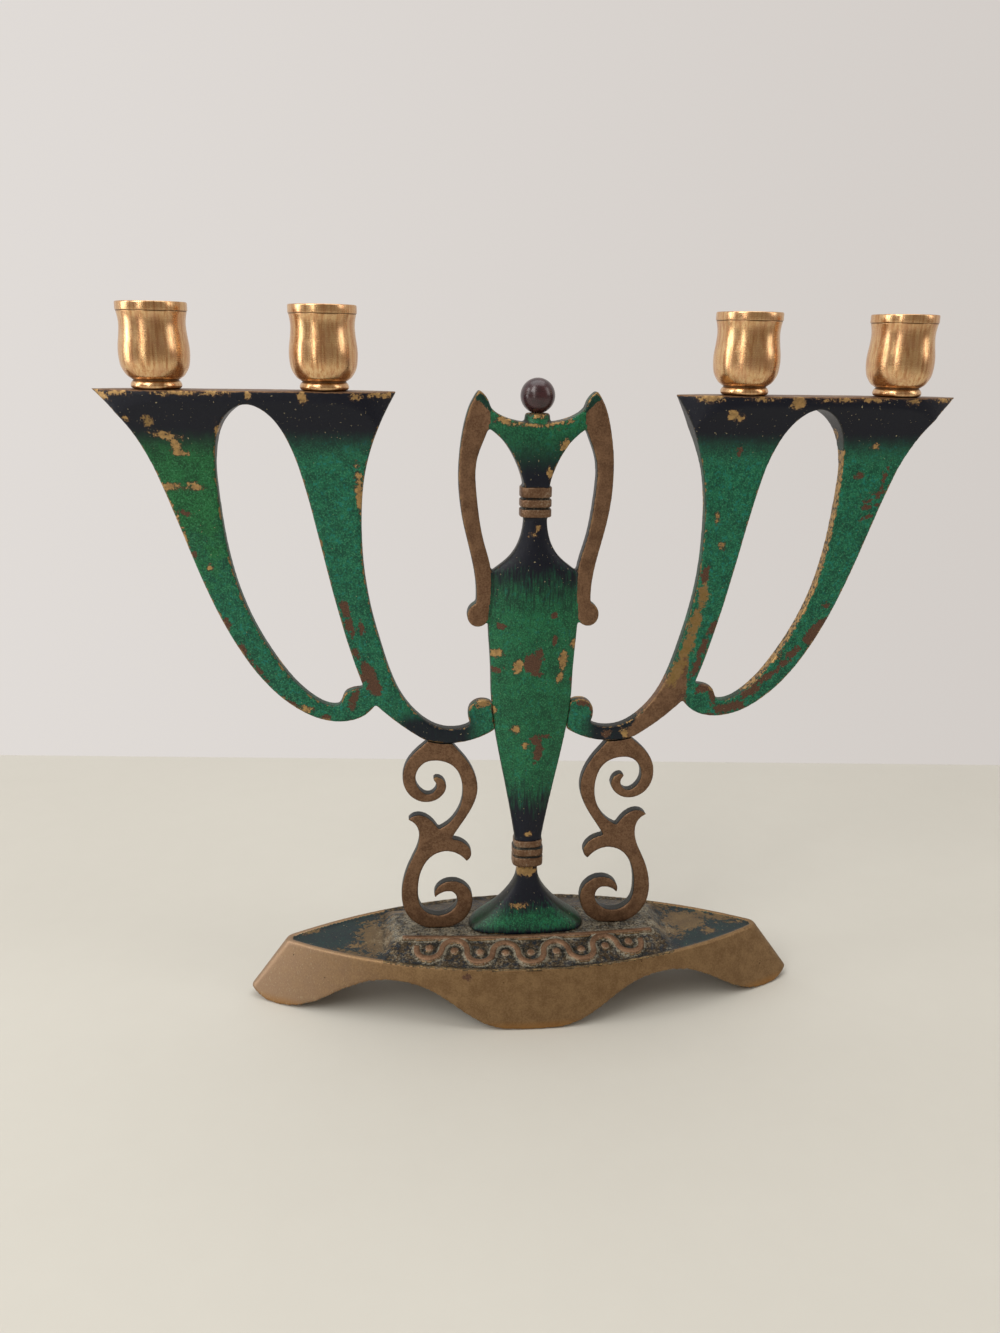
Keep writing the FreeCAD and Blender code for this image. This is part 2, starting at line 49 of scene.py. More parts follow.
def srgb(red, green, blue):
    """A colour given as 0-255 screen values, turned into the linear values shaders use."""
    linear = []
    for value in (red, green, blue):
        value /= 255
        linear.append(value / 12.92 if value <= 0.04045 else ((value + 0.055) / 1.055) ** 2.4)
    return (*linear, 1.0)


# ---------------------------------------------------------------- camera

CAMERA_PLACE = Vector((-45.8, -368.1, 240.4)) * MM
CAMERA_LENS = 29.26
CAMERA_YAW = math.radians(-5.36)
CAMERA_PITCH = math.radians(16.74)
CAMERA_ROLL = math.radians(0.863)


def make_camera():
    data = bpy.data.cameras.new("camera")
    data.lens = CAMERA_LENS
    data.sensor_width = 36.0
    data.clip_start = 0.01
    data.clip_end = 50.0
    camera = bpy.data.objects.new("camera", data)
    bpy.context.scene.collection.objects.link(camera)
    up = Vector((0, 0, 1))
    right = Vector((math.cos(CAMERA_YAW), math.sin(CAMERA_YAW), 0))
    level = Vector((-math.sin(CAMERA_YAW), math.cos(CAMERA_YAW), 0))
    ahead = level * math.cos(CAMERA_PITCH) - up * math.sin(CAMERA_PITCH)
    above = up * math.cos(CAMERA_PITCH) + level * math.sin(CAMERA_PITCH)
    turned_right = right * math.cos(CAMERA_ROLL) + above * math.sin(CAMERA_ROLL)
    turned_up = above * math.cos(CAMERA_ROLL) - right * math.sin(CAMERA_ROLL)
    turn = Matrix((turned_right, turned_up, -ahead)).transposed().to_4x4()
    camera.matrix_world = Matrix.Translation(CAMERA_PLACE) @ turn
    bpy.context.scene.camera = camera


make_camera()


# ---------------------------------------------------------------- material node helper

# the Mix node's colour sockets, which share their names with its other sockets
MIX_COLOUR_A = 6
MIX_COLOUR_B = 7
MIX_COLOUR_RESULT = 2


class Finish:
    """A material under construction. Values are sockets or plain numbers; positions are in millimetres."""

    def __init__(self, name):
        self.material = bpy.data.materials.new(name)
        self.material.use_nodes = True
        self.tree = self.material.node_tree
        self.tree.nodes.clear()
        self.output = self.tree.nodes.new("ShaderNodeOutputMaterial")
        coordinates = self.tree.nodes.new("ShaderNodeTexCoord")
        self.place = self.vector("MULTIPLY", coordinates.outputs["Object"], (1000, 1000, 1000))
        self.normal = coordinates.outputs["Normal"]

    def plug(self, socket, value):
        if isinstance(value, bpy.types.NodeSocket):
            self.tree.links.new(value, socket)
        elif value is not None:
            socket.default_value = value

    def vector(self, operation, a, b):
        node = self.tree.nodes.new("ShaderNodeVectorMath")
        node.operation = operation
        self.plug(node.inputs[0], a)
        self.plug(node.inputs[1], b)
        return node.outputs[0]

    def math(self, operation, a, b=None, clamp=False):
        node = self.tree.nodes.new("ShaderNodeMath")
        node.operation = operation
        node.use_clamp = clamp
        self.plug(node.inputs[0], a)
        self.plug(node.inputs[1], b)
        return node.outputs[0]

    def add(self, *terms):
        total = terms[0]
        for term in terms[1:]:
            total = self.math("ADD", total, term)
        return total

    def times(self, a, b):
        return self.math("MULTIPLY", a, b)

    def invert(self, a):
        return self.math("SUBTRACT", 1.0, a)

    def wobble(self, a, size):
        """A 0-1 noise turned into a swing of plus or minus size."""
        return self.times(self.math("SUBTRACT", a, 0.5), 2 * size)

    def step(self, value, low, high):
        """0 at low, 1 at high, smooth between and level beyond; high may be less than low."""
        node = self.tree.nodes.new("ShaderNodeMapRange")
        node.interpolation_type = "SMOOTHSTEP"
        self.plug(node.inputs["Value"], value)
        if low < high:
            node.inputs["From Min"].default_value = low
            node.inputs["From Max"].default_value = high
            return node.outputs[0]
        node.inputs["From Min"].default_value = high
        node.inputs["From Max"].default_value = low
        return self.invert(node.outputs[0])

    def scale_range(self, value, low, high):
        """A 0-1 value spread between low and high."""
        return self.add(self.times(value, high - low), low)

    def noise(self, scale, detail=3.0, roughness=0.55, stretch=(1, 1, 1), distortion=0.0, shift=0.0):
        place = self.place
        if stretch != (1, 1, 1):
            place = self.vector("MULTIPLY", place, stretch)
        if shift:
            place = self.vector("ADD", place, (shift, shift, shift))
        node = self.tree.nodes.new("ShaderNodeTexNoise")
        self.plug(node.inputs["Vector"], place)
        node.inputs["Scale"].default_value = scale
        node.inputs["Detail"].default_value = detail
        node.inputs["Roughness"].default_value = roughness
        node.inputs["Distortion"].default_value = distortion
        return node.outputs[0]

    def attribute(self, name):
        node = self.tree.nodes.new("ShaderNodeAttribute")
        node.attribute_name = name
        return node.outputs["Fac"]

    def axis(self, vector, index):
        node = self.tree.nodes.new("ShaderNodeSeparateXYZ")
        self.plug(node.inputs[0], vector)
        return node.outputs[index]

    def mix(self, share, a, b):
        """Colour a, turning into colour b as share goes from 0 to 1."""
        node = self.tree.nodes.new("ShaderNodeMix")
        node.data_type = "RGBA"
        self.plug(node.inputs[0], share)
        self.plug(node.inputs[MIX_COLOUR_A], a)
        self.plug(node.inputs[MIX_COLOUR_B], b)
        return node.outputs[MIX_COLOUR_RESULT]

    def bump(self, height, distance_mm, strength=1.0):
        node = self.tree.nodes.new("ShaderNodeBump")
        node.inputs["Strength"].default_value = strength
        node.inputs["Distance"].default_value = distance_mm * MM
        self.plug(node.inputs["Height"], height)
        return node.outputs[0]

    def finish(self, **values):
        shader = self.tree.nodes.new("ShaderNodeBsdfPrincipled")
        for name, value in values.items():
            self.plug(shader.inputs[name.replace("_", " ")], value)
        self.tree.links.new(shader.outputs[0], self.output.inputs[0])
        return self.material


# ---------------------------------------------------------------- finishes

LEAF_GREEN = srgb(30, 108, 56)
LEAF_GREEN_DEEP = srgb(8, 66, 36)
SEA_GREEN = srgb(26, 112, 82)
SEA_GREEN_DEEP = srgb(6, 66, 52)
GREEN_LIGHT = srgb(86, 150, 112)
GREEN_DARK = srgb(4, 34, 28)
TEAL = srgb(16, 122, 112)
BLACK = srgb(4, 9, 26)
BLACK_SMUDGE = srgb(24, 36, 48)
SIDE_DARK = srgb(30, 30, 22)
BROWN = srgb(134, 104, 80)
BROWN_DEEP = srgb(98, 73, 55)
SKIRT = srgb(142, 115, 82)
SKIRT_DEEP = srgb(116, 90, 62)
# the skirt's pale left end: partly wear, partly a painted sheen
SKIRT_WORN_SHEEN = srgb(172, 146, 124)
SKIRT_LIP = srgb(160, 114, 58)
SKIRT_PIT = srgb(52, 36, 28)
TOP_TAN = srgb(128, 106, 72)
TOP_BROWN = srgb(96, 80, 60)
TOP_BROWN_DARK = srgb(58, 50, 38)
TOP_BROWN_PALE = srgb(120, 100, 70)
TAN = srgb(150, 122, 82)
GOLD = srgb(180, 146, 96)
RUST = srgb(104, 74, 56)
RUST_DARK = srgb(66, 48, 38)
KHAKI = srgb(134, 110, 64)
DUST = srgb(150, 144, 126)
CREAM = srgb(196, 186, 150)
# near black for creases: grime and painted shade
GRIME_AND_SHADE = srgb(20, 24, 20)


def worn_enamel(f, streaks, leafy):
    """Green enamel with black sprayed over its ends, as a colour and its blackness."""
    dark = f.attribute("dark")
    speckle = f.noise(1.9, 6, 0.72)
    fleck = f.noise(3.2, 4, 0.7, shift=71)
    patch = f.noise(0.2, 4, 0.6, shift=7)
    brushed = f.noise(1.5, 4, 0.62, stretch=(1.0, 1.0, 0.12), shift=5)
    x = f.axis(f.place, 0)
    z = f.axis(f.place, 2)
    outer_left = f.times(f.step(x, -88, -108), f.step(f.add(z, f.wobble(patch, 40)), 150, 185))
    cool = f.math("SUBTRACT", 1.0 - leafy, f.times(outer_left, 0.8), clamp=True)
    green = f.mix(cool, LEAF_GREEN, SEA_GREEN)
    deep = f.mix(cool, LEAF_GREEN_DEEP, SEA_GREEN_DEEP)
    green = f.mix(f.step(f.add(f.times(speckle, 0.75), f.times(patch, 0.25)), 0.56, 0.42), green, deep)
    green = f.mix(f.times(f.step(brushed, 0.5, 0.7), 0.22), green, deep)
    green = f.mix(f.times(f.step(speckle, 0.54, 0.66), 0.5), green, GREEN_LIGHT)
    green = f.mix(f.times(f.step(fleck, 0.44, 0.34), 0.85), green, GREEN_DARK)
    glints = f.step(f.add(f.times(f.noise(0.9, 4, 0.62, shift=83), 0.7), f.times(patch, 0.3)), 0.54, 0.62)
    green = f.mix(f.times(glints, f.times(cool, 0.7)), green, TEAL)
    streak_zone = f.times(f.step(z, 182, 172), streaks)
    streaked = f.times(f.wobble(brushed, 1.0), f.add(streak_zone, 0.12))
    blackness = f.step(f.add(dark, streaked, f.wobble(speckle, 0.34)), 0.12, 0.88)
    smudge = f.times(f.step(speckle, 0.52, 0.7), 0.4)
    black = f.mix(smudge, BLACK, BLACK_SMUDGE)
    return f.mix(blackness, green, black), blackness


def cast_finish(name, streaks=0.0, side_share=0.75, pebble=1.0, leafy=0.15, skirt=False):
    """Cast brass, partly under worn green and black enamel. The mesh's attributes say where each of them is.

    Streaks is how far the black runs into the green in brush strokes, leafy how yellow the green is,
    side_share how dark the sides are, and pebble how rough the casting is. The skirt is the base, which has
    its own browns.
    """
    f = Finish(name)
    gold = f.attribute("gold")
    rust = f.attribute("rust")
    khaki = f.attribute("khaki")
    lift = f.attribute("lift")
    dust = f.attribute("dust")
    grain = f.noise(1.5, 4, 0.6)
    fine = f.noise(4.5, 3, 0.6, shift=31)
    patch = f.noise(0.22, 4, 0.6, shift=7)
    jag = f.noise(0.75, 6, 0.7, shift=19)
    jag_two = f.noise(0.6, 6, 0.7, shift=43)
    bare = f.step(f.add(f.attribute("bare"), f.wobble(jag_two, 0.9)), 0.4, 0.6)

    enamel, blackness = worn_enamel(f, streaks, leafy)
    if not skirt:
        facing = f.step(f.math("ABSOLUTE", f.axis(f.normal, 1)), 0.45, 0.8)
        sides = f.times(f.invert(facing), side_share)
        enamel = f.mix(f.times(sides, f.step(patch, 0.25, 0.5)), enamel, SIDE_DARK)

    pale, deep = (SKIRT, SKIRT_DEEP) if skirt else (BROWN, BROWN_DEEP)
    mottle = f.add(f.times(patch, 0.35), f.times(grain, 0.4), f.times(fine, 0.25))
    brass = f.mix(f.step(mottle, 0.4, 0.6), deep, pale)
    brass = f.mix(f.times(f.step(fine, 0.56, 0.76), 0.35), brass, TAN)
    if skirt:
        # the skirt's left end is lighter: partly wear, partly a painted sheen where the light falls on it
        worn_and_sheen_end = f.step(f.add(f.axis(f.place, 0), f.wobble(patch, 16)), -40, -108)
        brass = f.mix(f.times(worn_and_sheen_end, 0.6), brass, SKIRT_WORN_SHEEN)
        top_brass = f.mix(f.step(mottle, 0.42, 0.62), TOP_BROWN_DARK, TOP_BROWN)
        brass = f.mix(f.step(dust, 0.02, 0.06), brass, top_brass)
        low_lip = f.step(f.axis(f.place, 2), 4.0, 0.6)
        brass = f.mix(f.times(low_lip, 0.6), brass, SKIRT_LIP)
        pits = f.step(f.noise(0.55, 2, 0.5, shift=91), 0.74, 0.78)
        brass = f.mix(f.times(pits, 0.8), brass, SKIRT_PIT)
        scratched = f.noise(2.2, 4, 0.7, stretch=(1.0, 1.0, 0.3), distortion=0.6, shift=101)
        brass = f.mix(f.times(f.step(scratched, 0.58, 0.66), f.times(worn_and_sheen_end, 0.5)), brass, CREAM)
    chip_dark, chip_pale = (TOP_BROWN_PALE, TOP_TAN) if skirt else (TAN, GOLD)
    worn_brass = f.mix(f.step(jag, 0.42, 0.62), chip_dark, chip_pale)
    tarnish_dark, tarnish_pale = (TOP_BROWN, TOP_BROWN_PALE) if skirt else (KHAKI, TAN)

    ragged = f.wobble(jag, 2.4)
    chipped = f.step(f.add(gold, ragged), -0.12, 0.12)
    chip_rim = f.step(f.add(gold, ragged), -0.55, -0.2)
    flaked = f.step(f.add(rust, f.wobble(jag_two, 2.8)), -0.12, 0.12)
    tarnished = f.step(f.add(khaki, f.wobble(jag_two, 3.4)), -0.5, 0.3)
    edge_line = f.step(f.add(lift, f.wobble(jag, 0.26), f.wobble(patch, 0.2)), 0.24, 0.29)
    speck = f.step(f.add(f.noise(1.3, 3, 0.6, shift=61), f.times(blackness, 0.035)), 0.72, 0.75)

    paint = f.invert(bare)
    for loss in (chipped, flaked, tarnished, edge_line, speck):
        paint = f.times(paint, f.invert(loss))
    rusty = f.mix(f.step(fine, 0.4, 0.6), RUST, RUST_DARK)
    metal_colour = f.mix(flaked, brass, rusty)
    metal_colour = f.mix(f.times(tarnished, f.invert(flaked)), metal_colour,
                         f.mix(f.step(mottle, 0.4, 0.6), tarnish_dark, tarnish_pale))
    edge_share = f.scale_range(bare, 0.8, 0.1 if skirt else 0.3)
    metal_colour = f.mix(f.times(edge_line, edge_share), metal_colour, f.mix(jag, KHAKI, TAN))
    metal_colour = f.mix(chipped, metal_colour, worn_brass)
    metal_colour = f.mix(f.times(speck, f.times(f.invert(bare), 0.8)), metal_colour, CREAM)
    enamel = f.mix(f.times(chip_rim, 0.7), enamel, RUST_DARK)
    colour = f.mix(paint, metal_colour, enamel)
    # creases, where lift is below 0, are darkened: grime and painted shade
    crease = f.step(f.add(lift, f.wobble(patch, 0.05)), -0.05, -0.2)
    colour = f.mix(f.times(crease, 0.75), colour, GRIME_AND_SHADE)
    powder = f.add(f.times(patch, 0.3), f.times(grain, 0.45), f.times(fine, 0.25),
                   f.times(f.invert(dust), -0.16))
    dusty = f.times(f.step(dust, 0.02, 0.2), f.step(powder, 0.38, 0.56))
    colour = f.mix(f.times(dusty, 0.8), colour, DUST)

    metallic = f.times(f.invert(paint), f.invert(f.times(dusty, 0.9)))
    metallic = f.times(metallic, f.scale_range(flaked, 0.75, 0.25))
    rough_paint = f.scale_range(grain, 0.3, 0.54)
    rough_metal = f.scale_range(mottle, 0.34, 0.62)
    rough = f.add(f.times(paint, rough_paint), f.times(f.invert(paint), rough_metal), f.times(dusty, 0.25))
    height = f.add(f.times(grain, 0.5 * pebble), f.times(fine, 0.35 * pebble), f.times(paint, 0.9))
    return f.finish(Base_Color=colour, Metallic=metallic, Roughness=rough, Specular_IOR_Level=0.3,
                    Normal=f.bump(height, 0.12, 1.0))


def turned_finish():
    """Lathe-turned brass: fine rings round the axis, faint upright tarnish streaks, small marks, and painted
    shade in the recesses.
    """
    f = Finish("turned_brass_finish")
    rings = f.noise(3.6, 4, 0.72, stretch=(0.03, 0.03, 1.0))
    upright = f.noise(1.1, 5, 0.68, stretch=(1.0, 1.0, 0.04), shift=9)
    patch = f.noise(0.18, 4, 0.6, shift=21)
    cloud = f.noise(0.7, 5, 0.7, shift=27)
    marks = f.step(f.noise(0.9, 5, 0.7, shift=33), 0.70, 0.74)
    # deep carries painted shade inside the socket and in the neck and band grooves, and a painted contact
    # shadow round the seat
    deep = f.attribute("deep")
    colour = f.mix(f.step(upright, 0.4, 0.6), srgb(228, 192, 144), srgb(206, 158, 112))
    colour = f.mix(f.times(f.step(upright, 0.56, 0.66), 0.5), colour, srgb(158, 110, 74))
    colour = f.mix(f.times(f.step(patch, 0.42, 0.66), 0.5), colour, srgb(204, 156, 120))
    colour = f.mix(f.times(f.step(cloud, 0.54, 0.68), 0.25), colour, srgb(172, 126, 84))
    colour = f.mix(f.times(marks, 0.6), colour, srgb(104, 66, 42))
    # painted shade and shadow: the recesses and the seat are darkened in the colour
    colour = f.mix(deep, colour, srgb(84, 58, 38))
    rough = f.add(f.scale_range(rings, 0.16, 0.28), f.times(cloud, 0.08), f.times(deep, 0.2))
    height = f.add(f.times(rings, 0.7), f.times(marks, -0.6), f.times(cloud, 0.2))
    return f.finish(Base_Color=colour, Metallic=1.0, Roughness=rough, Normal=f.bump(height, 0.02, 0.7))


def lacquer_finish():
    """Dull maroon lacquer with faint dusty specks."""
    f = Finish("maroon_lacquer_finish")
    cloud = f.noise(0.35, 4, 0.6)
    fine = f.noise(2.6, 4, 0.6)
    colour = f.mix(f.step(cloud, 0.35, 0.65), srgb(44, 20, 26), srgb(60, 28, 34))
    colour = f.mix(f.times(f.step(fine, 0.64, 0.76), 0.25), colour, srgb(104, 72, 70))
    rough = f.scale_range(fine, 0.2, 0.36)
    return f.finish(Base_Color=colour, Roughness=rough, Coat_Weight=0.35, Coat_Roughness=0.2,
                    Normal=f.bump(f.add(fine, cloud), 0.03, 0.5))


def steel_finish():
    """Plain steel, a little stained."""
    f = Finish("thread_steel_finish")
    cloud = f.noise(0.9, 4, 0.6)
    fine = f.noise(5.0, 3, 0.6, stretch=(1, 1, 0.2))
    colour = f.mix(f.step(cloud, 0.4, 0.7), srgb(168, 164, 156), srgb(124, 112, 96))
    rough = f.scale_range(fine, 0.3, 0.52)
    return f.finish(Base_Color=colour, Metallic=1.0, Roughness=rough, Normal=f.bump(fine, 0.02, 0.6))


# ---------------------------------------------------------------- mesh helpers

LIFT_ROUNDS = 14
GRAINS_PER_METRE = 700
WAVES_PER_METRE = 110


def add_object(name, mesh):
    piece = bpy.data.objects.new(name, mesh)
    bpy.context.scene.collection.objects.link(piece)
    return piece


def remeshed(node, voxel):
    """The CAD node's solid again as an even net of small quads."""
    scratch = add_object("scratch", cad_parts[node].data.copy())
    modifier = scratch.modifiers.new("remesh", "REMESH")
    modifier.mode = "VOXEL"
    modifier.voxel_size = voxel * MM
    modifier.use_smooth_shade = True
    depsgraph = bpy.context.evaluated_depsgraph_get()
    mesh = bpy.data.meshes.new_from_object(scratch.evaluated_get(depsgraph))
    bpy.data.objects.remove(scratch)
    mesh.materials.clear()
    return mesh


def relaxed(co, edges, rounds):
    """Points moved half way to the mean of their neighbours, rounds times."""
    first, second = edges[:, 0], edges[:, 1]
    count = np.bincount(edges.ravel(), minlength=len(co))[:, None]
    for _ in range(rounds):
        total = np.empty_like(co)
        for axis in range(3):
            total[:, axis] = np.bincount(first, co[second, axis], len(co))
            total[:, axis] += np.bincount(second, co[first, axis], len(co))
        co = co + 0.5 * (total / count - co)
    return co


def points_of(mesh):
    co = np.empty(len(mesh.vertices) * 3)
    mesh.vertices.foreach_get("co", co)
    return co.reshape(-1, 3)


def set_points(mesh, co):
    mesh.vertices.foreach_set("co", co.ravel())
    mesh.update()


def normals_of(mesh):
    found = np.empty(len(mesh.vertices) * 3)
    mesh.vertex_normals.foreach_get("vector", found)
    return found.reshape(-1, 3)


def store(mesh, name, values):
    layer = mesh.attributes.new(name, "FLOAT", "POINT")
    layer.data.foreach_set("value", np.asarray(values, np.float32))


def cast_mesh(node, voxel, soften, skin):
    """A casting's mesh, with its edges softened over some rounds and its skin uneven by about skin mm.

    Its attribute lift, in mm, is above 0 on edges and below 0 in creases.
    """
    mesh = remeshed(node, voxel)
    edges = np.empty(len(mesh.edges) * 2, int)
    mesh.edges.foreach_get("vertices", edges)
    edges = edges.reshape(-1, 2)
    co = relaxed(points_of(mesh), edges, soften)
    set_points(mesh, co)
    normal = normals_of(mesh)
    lift = ((co - relaxed(co, edges, LIFT_ROUNDS)) * normal).sum(1) / MM
    uneven = np.array([noise.fractal(Vector(p) * GRAINS_PER_METRE, 0.8, 2.1, 3) for p in co])
    slow = np.array([noise.noise(Vector(p) * WAVES_PER_METRE) for p in co])
    depth = skin * np.clip(0.5 + 0.35 * uneven, 0, 1) + 1.6 * skin * np.clip(0.5 + 0.5 * slow, 0, 1)
    set_points(mesh, co - normal * depth[:, None] * MM)
    store(mesh, "lift", lift)
    return mesh


def inside(x, z, outline):
    """True for the points inside a closed outline in the front plane."""
    found = np.zeros(len(x), bool)
    for (x0, z0), (x1, z1) in zip(outline, outline[1:] + outline[:1]):
        if z0 != z1:
            crosses = ((z0 > z) != (z1 > z)) & (x < (x1 - x0) * (z - z0) / (z1 - z0) + x0)
            found ^= crosses
    return found


FAR_OUTSIDE = -6.0


def spot_depth(x, z, spots):
    """How deep each point lies in the nearest spot, in mm, negative outside."""
    best = np.full(len(x), FAR_OUTSIDE)
    for spot_x, spot_z, wide, tall, turn in spots:
        cosine, sine = math.cos(math.radians(turn)), math.sin(math.radians(turn))
        along = cosine * (x - spot_x) + sine * (z - spot_z)
        across = cosine * (z - spot_z) - sine * (x - spot_x)
        depth = (1 - np.hypot(along / wide, across / tall)) * min(wide, tall)
        best = np.maximum(best, depth)
    return best


# ---------------------------------------------------------------- where the paint has gone

# worn spots as seen from the front: x, z, half width and half height in mm, and a turn in degrees
GOLD_SPOTS = [
    # left pair
    (-120.8, 209.6, 3.6, 0.9, -10), (-118.3, 206.6, 1.2, 2.4, 20), (-117.2, 204.0, 2.2, 1.0, -12),
    (-121.4, 193.0, 3.4, 1.1, 0), (-113.2, 192.9, 2.3, 1.1, -5), (-122.7, 187.9, 1.1, 2.3, 18),
    (-119.9, 182.2, 0.9, 1.2, 0), (-118.3, 176.7, 1.1, 2.6, 15), (-110.1, 165.8, 0.6, 0.7, 0),
    (-79.7, 115.1, 2.1, 1.0, -15), (-59.6, 191.9, 1.0, 6.0, 4), (-140.6, 222.2, 2.6, 1.3, -20),
    (-135.5, 223.0, 3.0, 0.6, 0), (-93.7, 222.6, 1.0, 1.0, 0), (-76.8, 222.2, 1.4, 1.9, 0),
    (-60.0, 222.4, 1.4, 1.0, 0), (-52.0, 222.8, 3.0, 0.7, 0), (-133.1, 215.0, 0.9, 0.7, 0),
    (-104.4, 211.2, 0.6, 1.7, 0), (-116.0, 223.0, 5.0, 0.5, 0), (-105.0, 223.2, 2.6, 0.6, 0),
    # right pair
    (65.0, 217.8, 1.6, 1.7, 30), (67.6, 216.6, 1.2, 1.0, 0), (57.2, 223.2, 3.6, 1.2, 0),
    (86.6, 221.9, 2.4, 1.9, 20), (126.3, 222.7, 2.0, 0.8, 0), (116.9, 207.4, 1.0, 0.7, 0),
    (63.2, 183.1, 0.6, 1.6, 10), (65.6, 172.9, 0.9, 1.3, 0), (88.4, 131.8, 0.8, 2.8, -42),
    (34.6, 104.5, 1.2, 1.6, 20), (91.2, 121.6, 1.6, 1.0, 35), (100.0, 223.0, 4.0, 0.5, 0),
    (112.0, 223.1, 3.0, 0.5, 0), (75.0, 223.1, 3.0, 0.5, 0), (139.0, 223.0, 3.0, 0.7, 0),
    # post
    (-5.3, 130.3, 1.4, 2.6, -20), (10.8, 132.5, 1.5, 3.3, 0), (9.9, 126.0, 1.0, 1.8, -15),
    (-12.7, 135.1, 2.4, 1.3, 8), (14.6, 138.1, 0.9, 1.6, 0), (-5.9, 106.7, 1.6, 1.2, 0),
    (-2.0, 100.6, 1.2, 0.9, 0), (4.3, 197.9, 1.0, 1.7, 10), (8.8, 206.8, 1.3, 1.3, 30),
    (0.8, 179.3, 0.8, 0.9, 0), (-0.9, 177.0, 0.9, 0.6, 0), (-11.1, 215.2, 2.2, 1.0, -25),
    (-4.0, 214.0, 4.0, 0.3, -6), (5.6, 214.3, 3.0, 0.3, 8),
    (-0.9, 50.0, 4.4, 1.9, 0), (-3.4, 36.6, 2.3, 0.8, 0), (-0.1, 65.5, 1.2, 0.8, 15),
    (-17.3, 116.2, 2.8, 1.6, 20), (-13.4, 113.6, 0.9, 1.2, 0), (-0.2, 217.0, 2.2, 0.8, 0),
    (-6.7, 197.2, 0.8, 0.7, 0), (9.6, 208.2, 1.2, 1.0, 25),
]
RUST_SPOTS = [
    # left pair
    (-116.5, 184.3, 1.8, 0.9, -10), (-115.4, 170.1, 1.3, 1.1, 0), (-105.7, 146.3, 1.5, 1.9, 20),
    (-100.7, 136.8, 1.5, 2.7, 35), (-95.8, 129.5, 0.8, 4.2, 38), (-84.8, 116.9, 2.6, 1.2, -30),
    (-73.3, 111.9, 1.6, 0.7, 0), (-62.9, 118.3, 1.5, 3.8, -25), (-65.2, 150.6, 1.4, 3.4, 12),
    (-63.9, 145.0, 1.6, 3.2, 12), (-59.9, 144.5, 0.9, 2.7, 5), (-61.8, 134.7, 1.3, 2.4, 10),
    (-57.6, 127.8, 2.1, 4.6, 20), (-55.6, 122.6, 2.2, 3.4, 30), (-60.6, 126.0, 1.4, 2.0, 0),
    # right pair
    (112.4, 197.3, 1.5, 1.1, 20), (121.4, 196.5, 0.6, 3.2, -12), (119.8, 191.4, 2.6, 0.5, 12),
    (119.0, 189.6, 2.2, 0.4, 20), (117.6, 186.7, 3.2, 0.5, 14), (117.1, 183.2, 1.7, 0.7, 25),
    (60.4, 163.0, 1.4, 3.0, -8), (64.2, 142.9, 1.2, 2.9, -22), (61.6, 136.4, 1.2, 3.7, -22),
    (59.3, 129.0, 1.2, 3.6, -24), (105.2, 151.2, 1.3, 1.2, 30), (104.4, 143.6, 2.4, 3.4, -45),
    (101.4, 139.8, 2.6, 3.6, -45), (94.6, 133.6, 1.4, 3.6, -42), (91.4, 129.6, 1.2, 3.4, -45),
    (86.0, 124.6, 1.2, 4.4, -55), (80.0, 119.0, 1.4, 4.0, -60), (73.1, 113.6, 6.6, 1.8, 12),
    (63.3, 121.0, 3.6, 1.8, 10), (66.4, 117.6, 1.4, 2.4, 0), (19.6, 116.4, 3.0, 1.6, 0),
    (22.4, 113.6, 1.2, 2.2, 0), (69.2, 205.1, 0.9, 1.3, 0), (27.6, 104.0, 2.0, 1.4, 20),
    (66.0, 110.5, 4.0, 0.9, 8), (55.4, 117.6, 1.6, 0.9, 30),
    # post
    (-0.2, 131.6, 3.2, 3.6, 0), (2.2, 135.0, 1.4, 2.2, 30), (1.4, 127.8, 1.8, 1.2, -10),
    (-11.3, 144.9, 1.5, 1.0, 0), (7.0, 148.6, 1.1, 1.1, 0), (7.7, 139.8, 1.1, 1.5, 0),
    (-12.8, 129.0, 2.1, 1.0, 0), (1.8, 102.6, 2.0, 1.8, 0), (2.6, 97.4, 1.5, 3.9, -8),
    (5.4, 103.8, 1.4, 0.7, 0), (14.3, 124.0, 0.5, 1.1, 0),
]
KHAKI_SPOTS = [
    (60.4, 155.4, 1.5, 5.0, -6), (58.2, 145.6, 1.8, 5.6, -12), (55.8, 136.4, 1.9, 5.2, -18),
    (52.4, 127.2, 1.8, 6.0, -26), (-10.7, 138.9, 1.5, 1.4, 0), (-6.5, 139.7, 1.5, 1.7, 0),
    (-126.3, 214.0, 1.4, 1.6, 30),
]


# on top of the base, from above: x, y, half length and half depth in mm, and a turn in degrees
BASE_TAN_SPOTS = [
    (-82.4, 5.8, 5.0, 3.0, 20), (-64.5, -6.5, 3.2, 1.8, -10), (-79.8, -9.3, 2.0, 1.2, -15),
    (70.9, -4.1, 3.4, 2.2, 25), (62.6, -15.9, 2.2, 2.0, 20), (84.5, 1.5, 1.8, 1.2, 0),
]
BASE_BROWN_SPOTS = [
    (-57.0, -1.5, 6.0, 11.0, 10), (-66.0, -12.5, 7.0, 2.2, -8), (-49.0, 14.0, 7.0, 3.0, 0),
    (62.7, 4.0, 8.0, 7.4, -12), (76.0, 6.4, 9.0, 2.4, -14), (56.0, -4.0, 5.0, 4.0, 0),
    (53.0, 16.0, 8.0, 3.4, 0),
]
# on the front of the skirt, as seen from the front
BASE_PIT = [(-23.9, 20.5, 0.9, 0.9, 0)]


def spots_from_front(co):
    """The x, z that the spots are read at, in mm. The back has the front's wear, turned left to right."""
    x = np.where(co[:, 1] < 0, co[:, 0], -co[:, 0]) / MM
    return x, co[:, 2] / MM


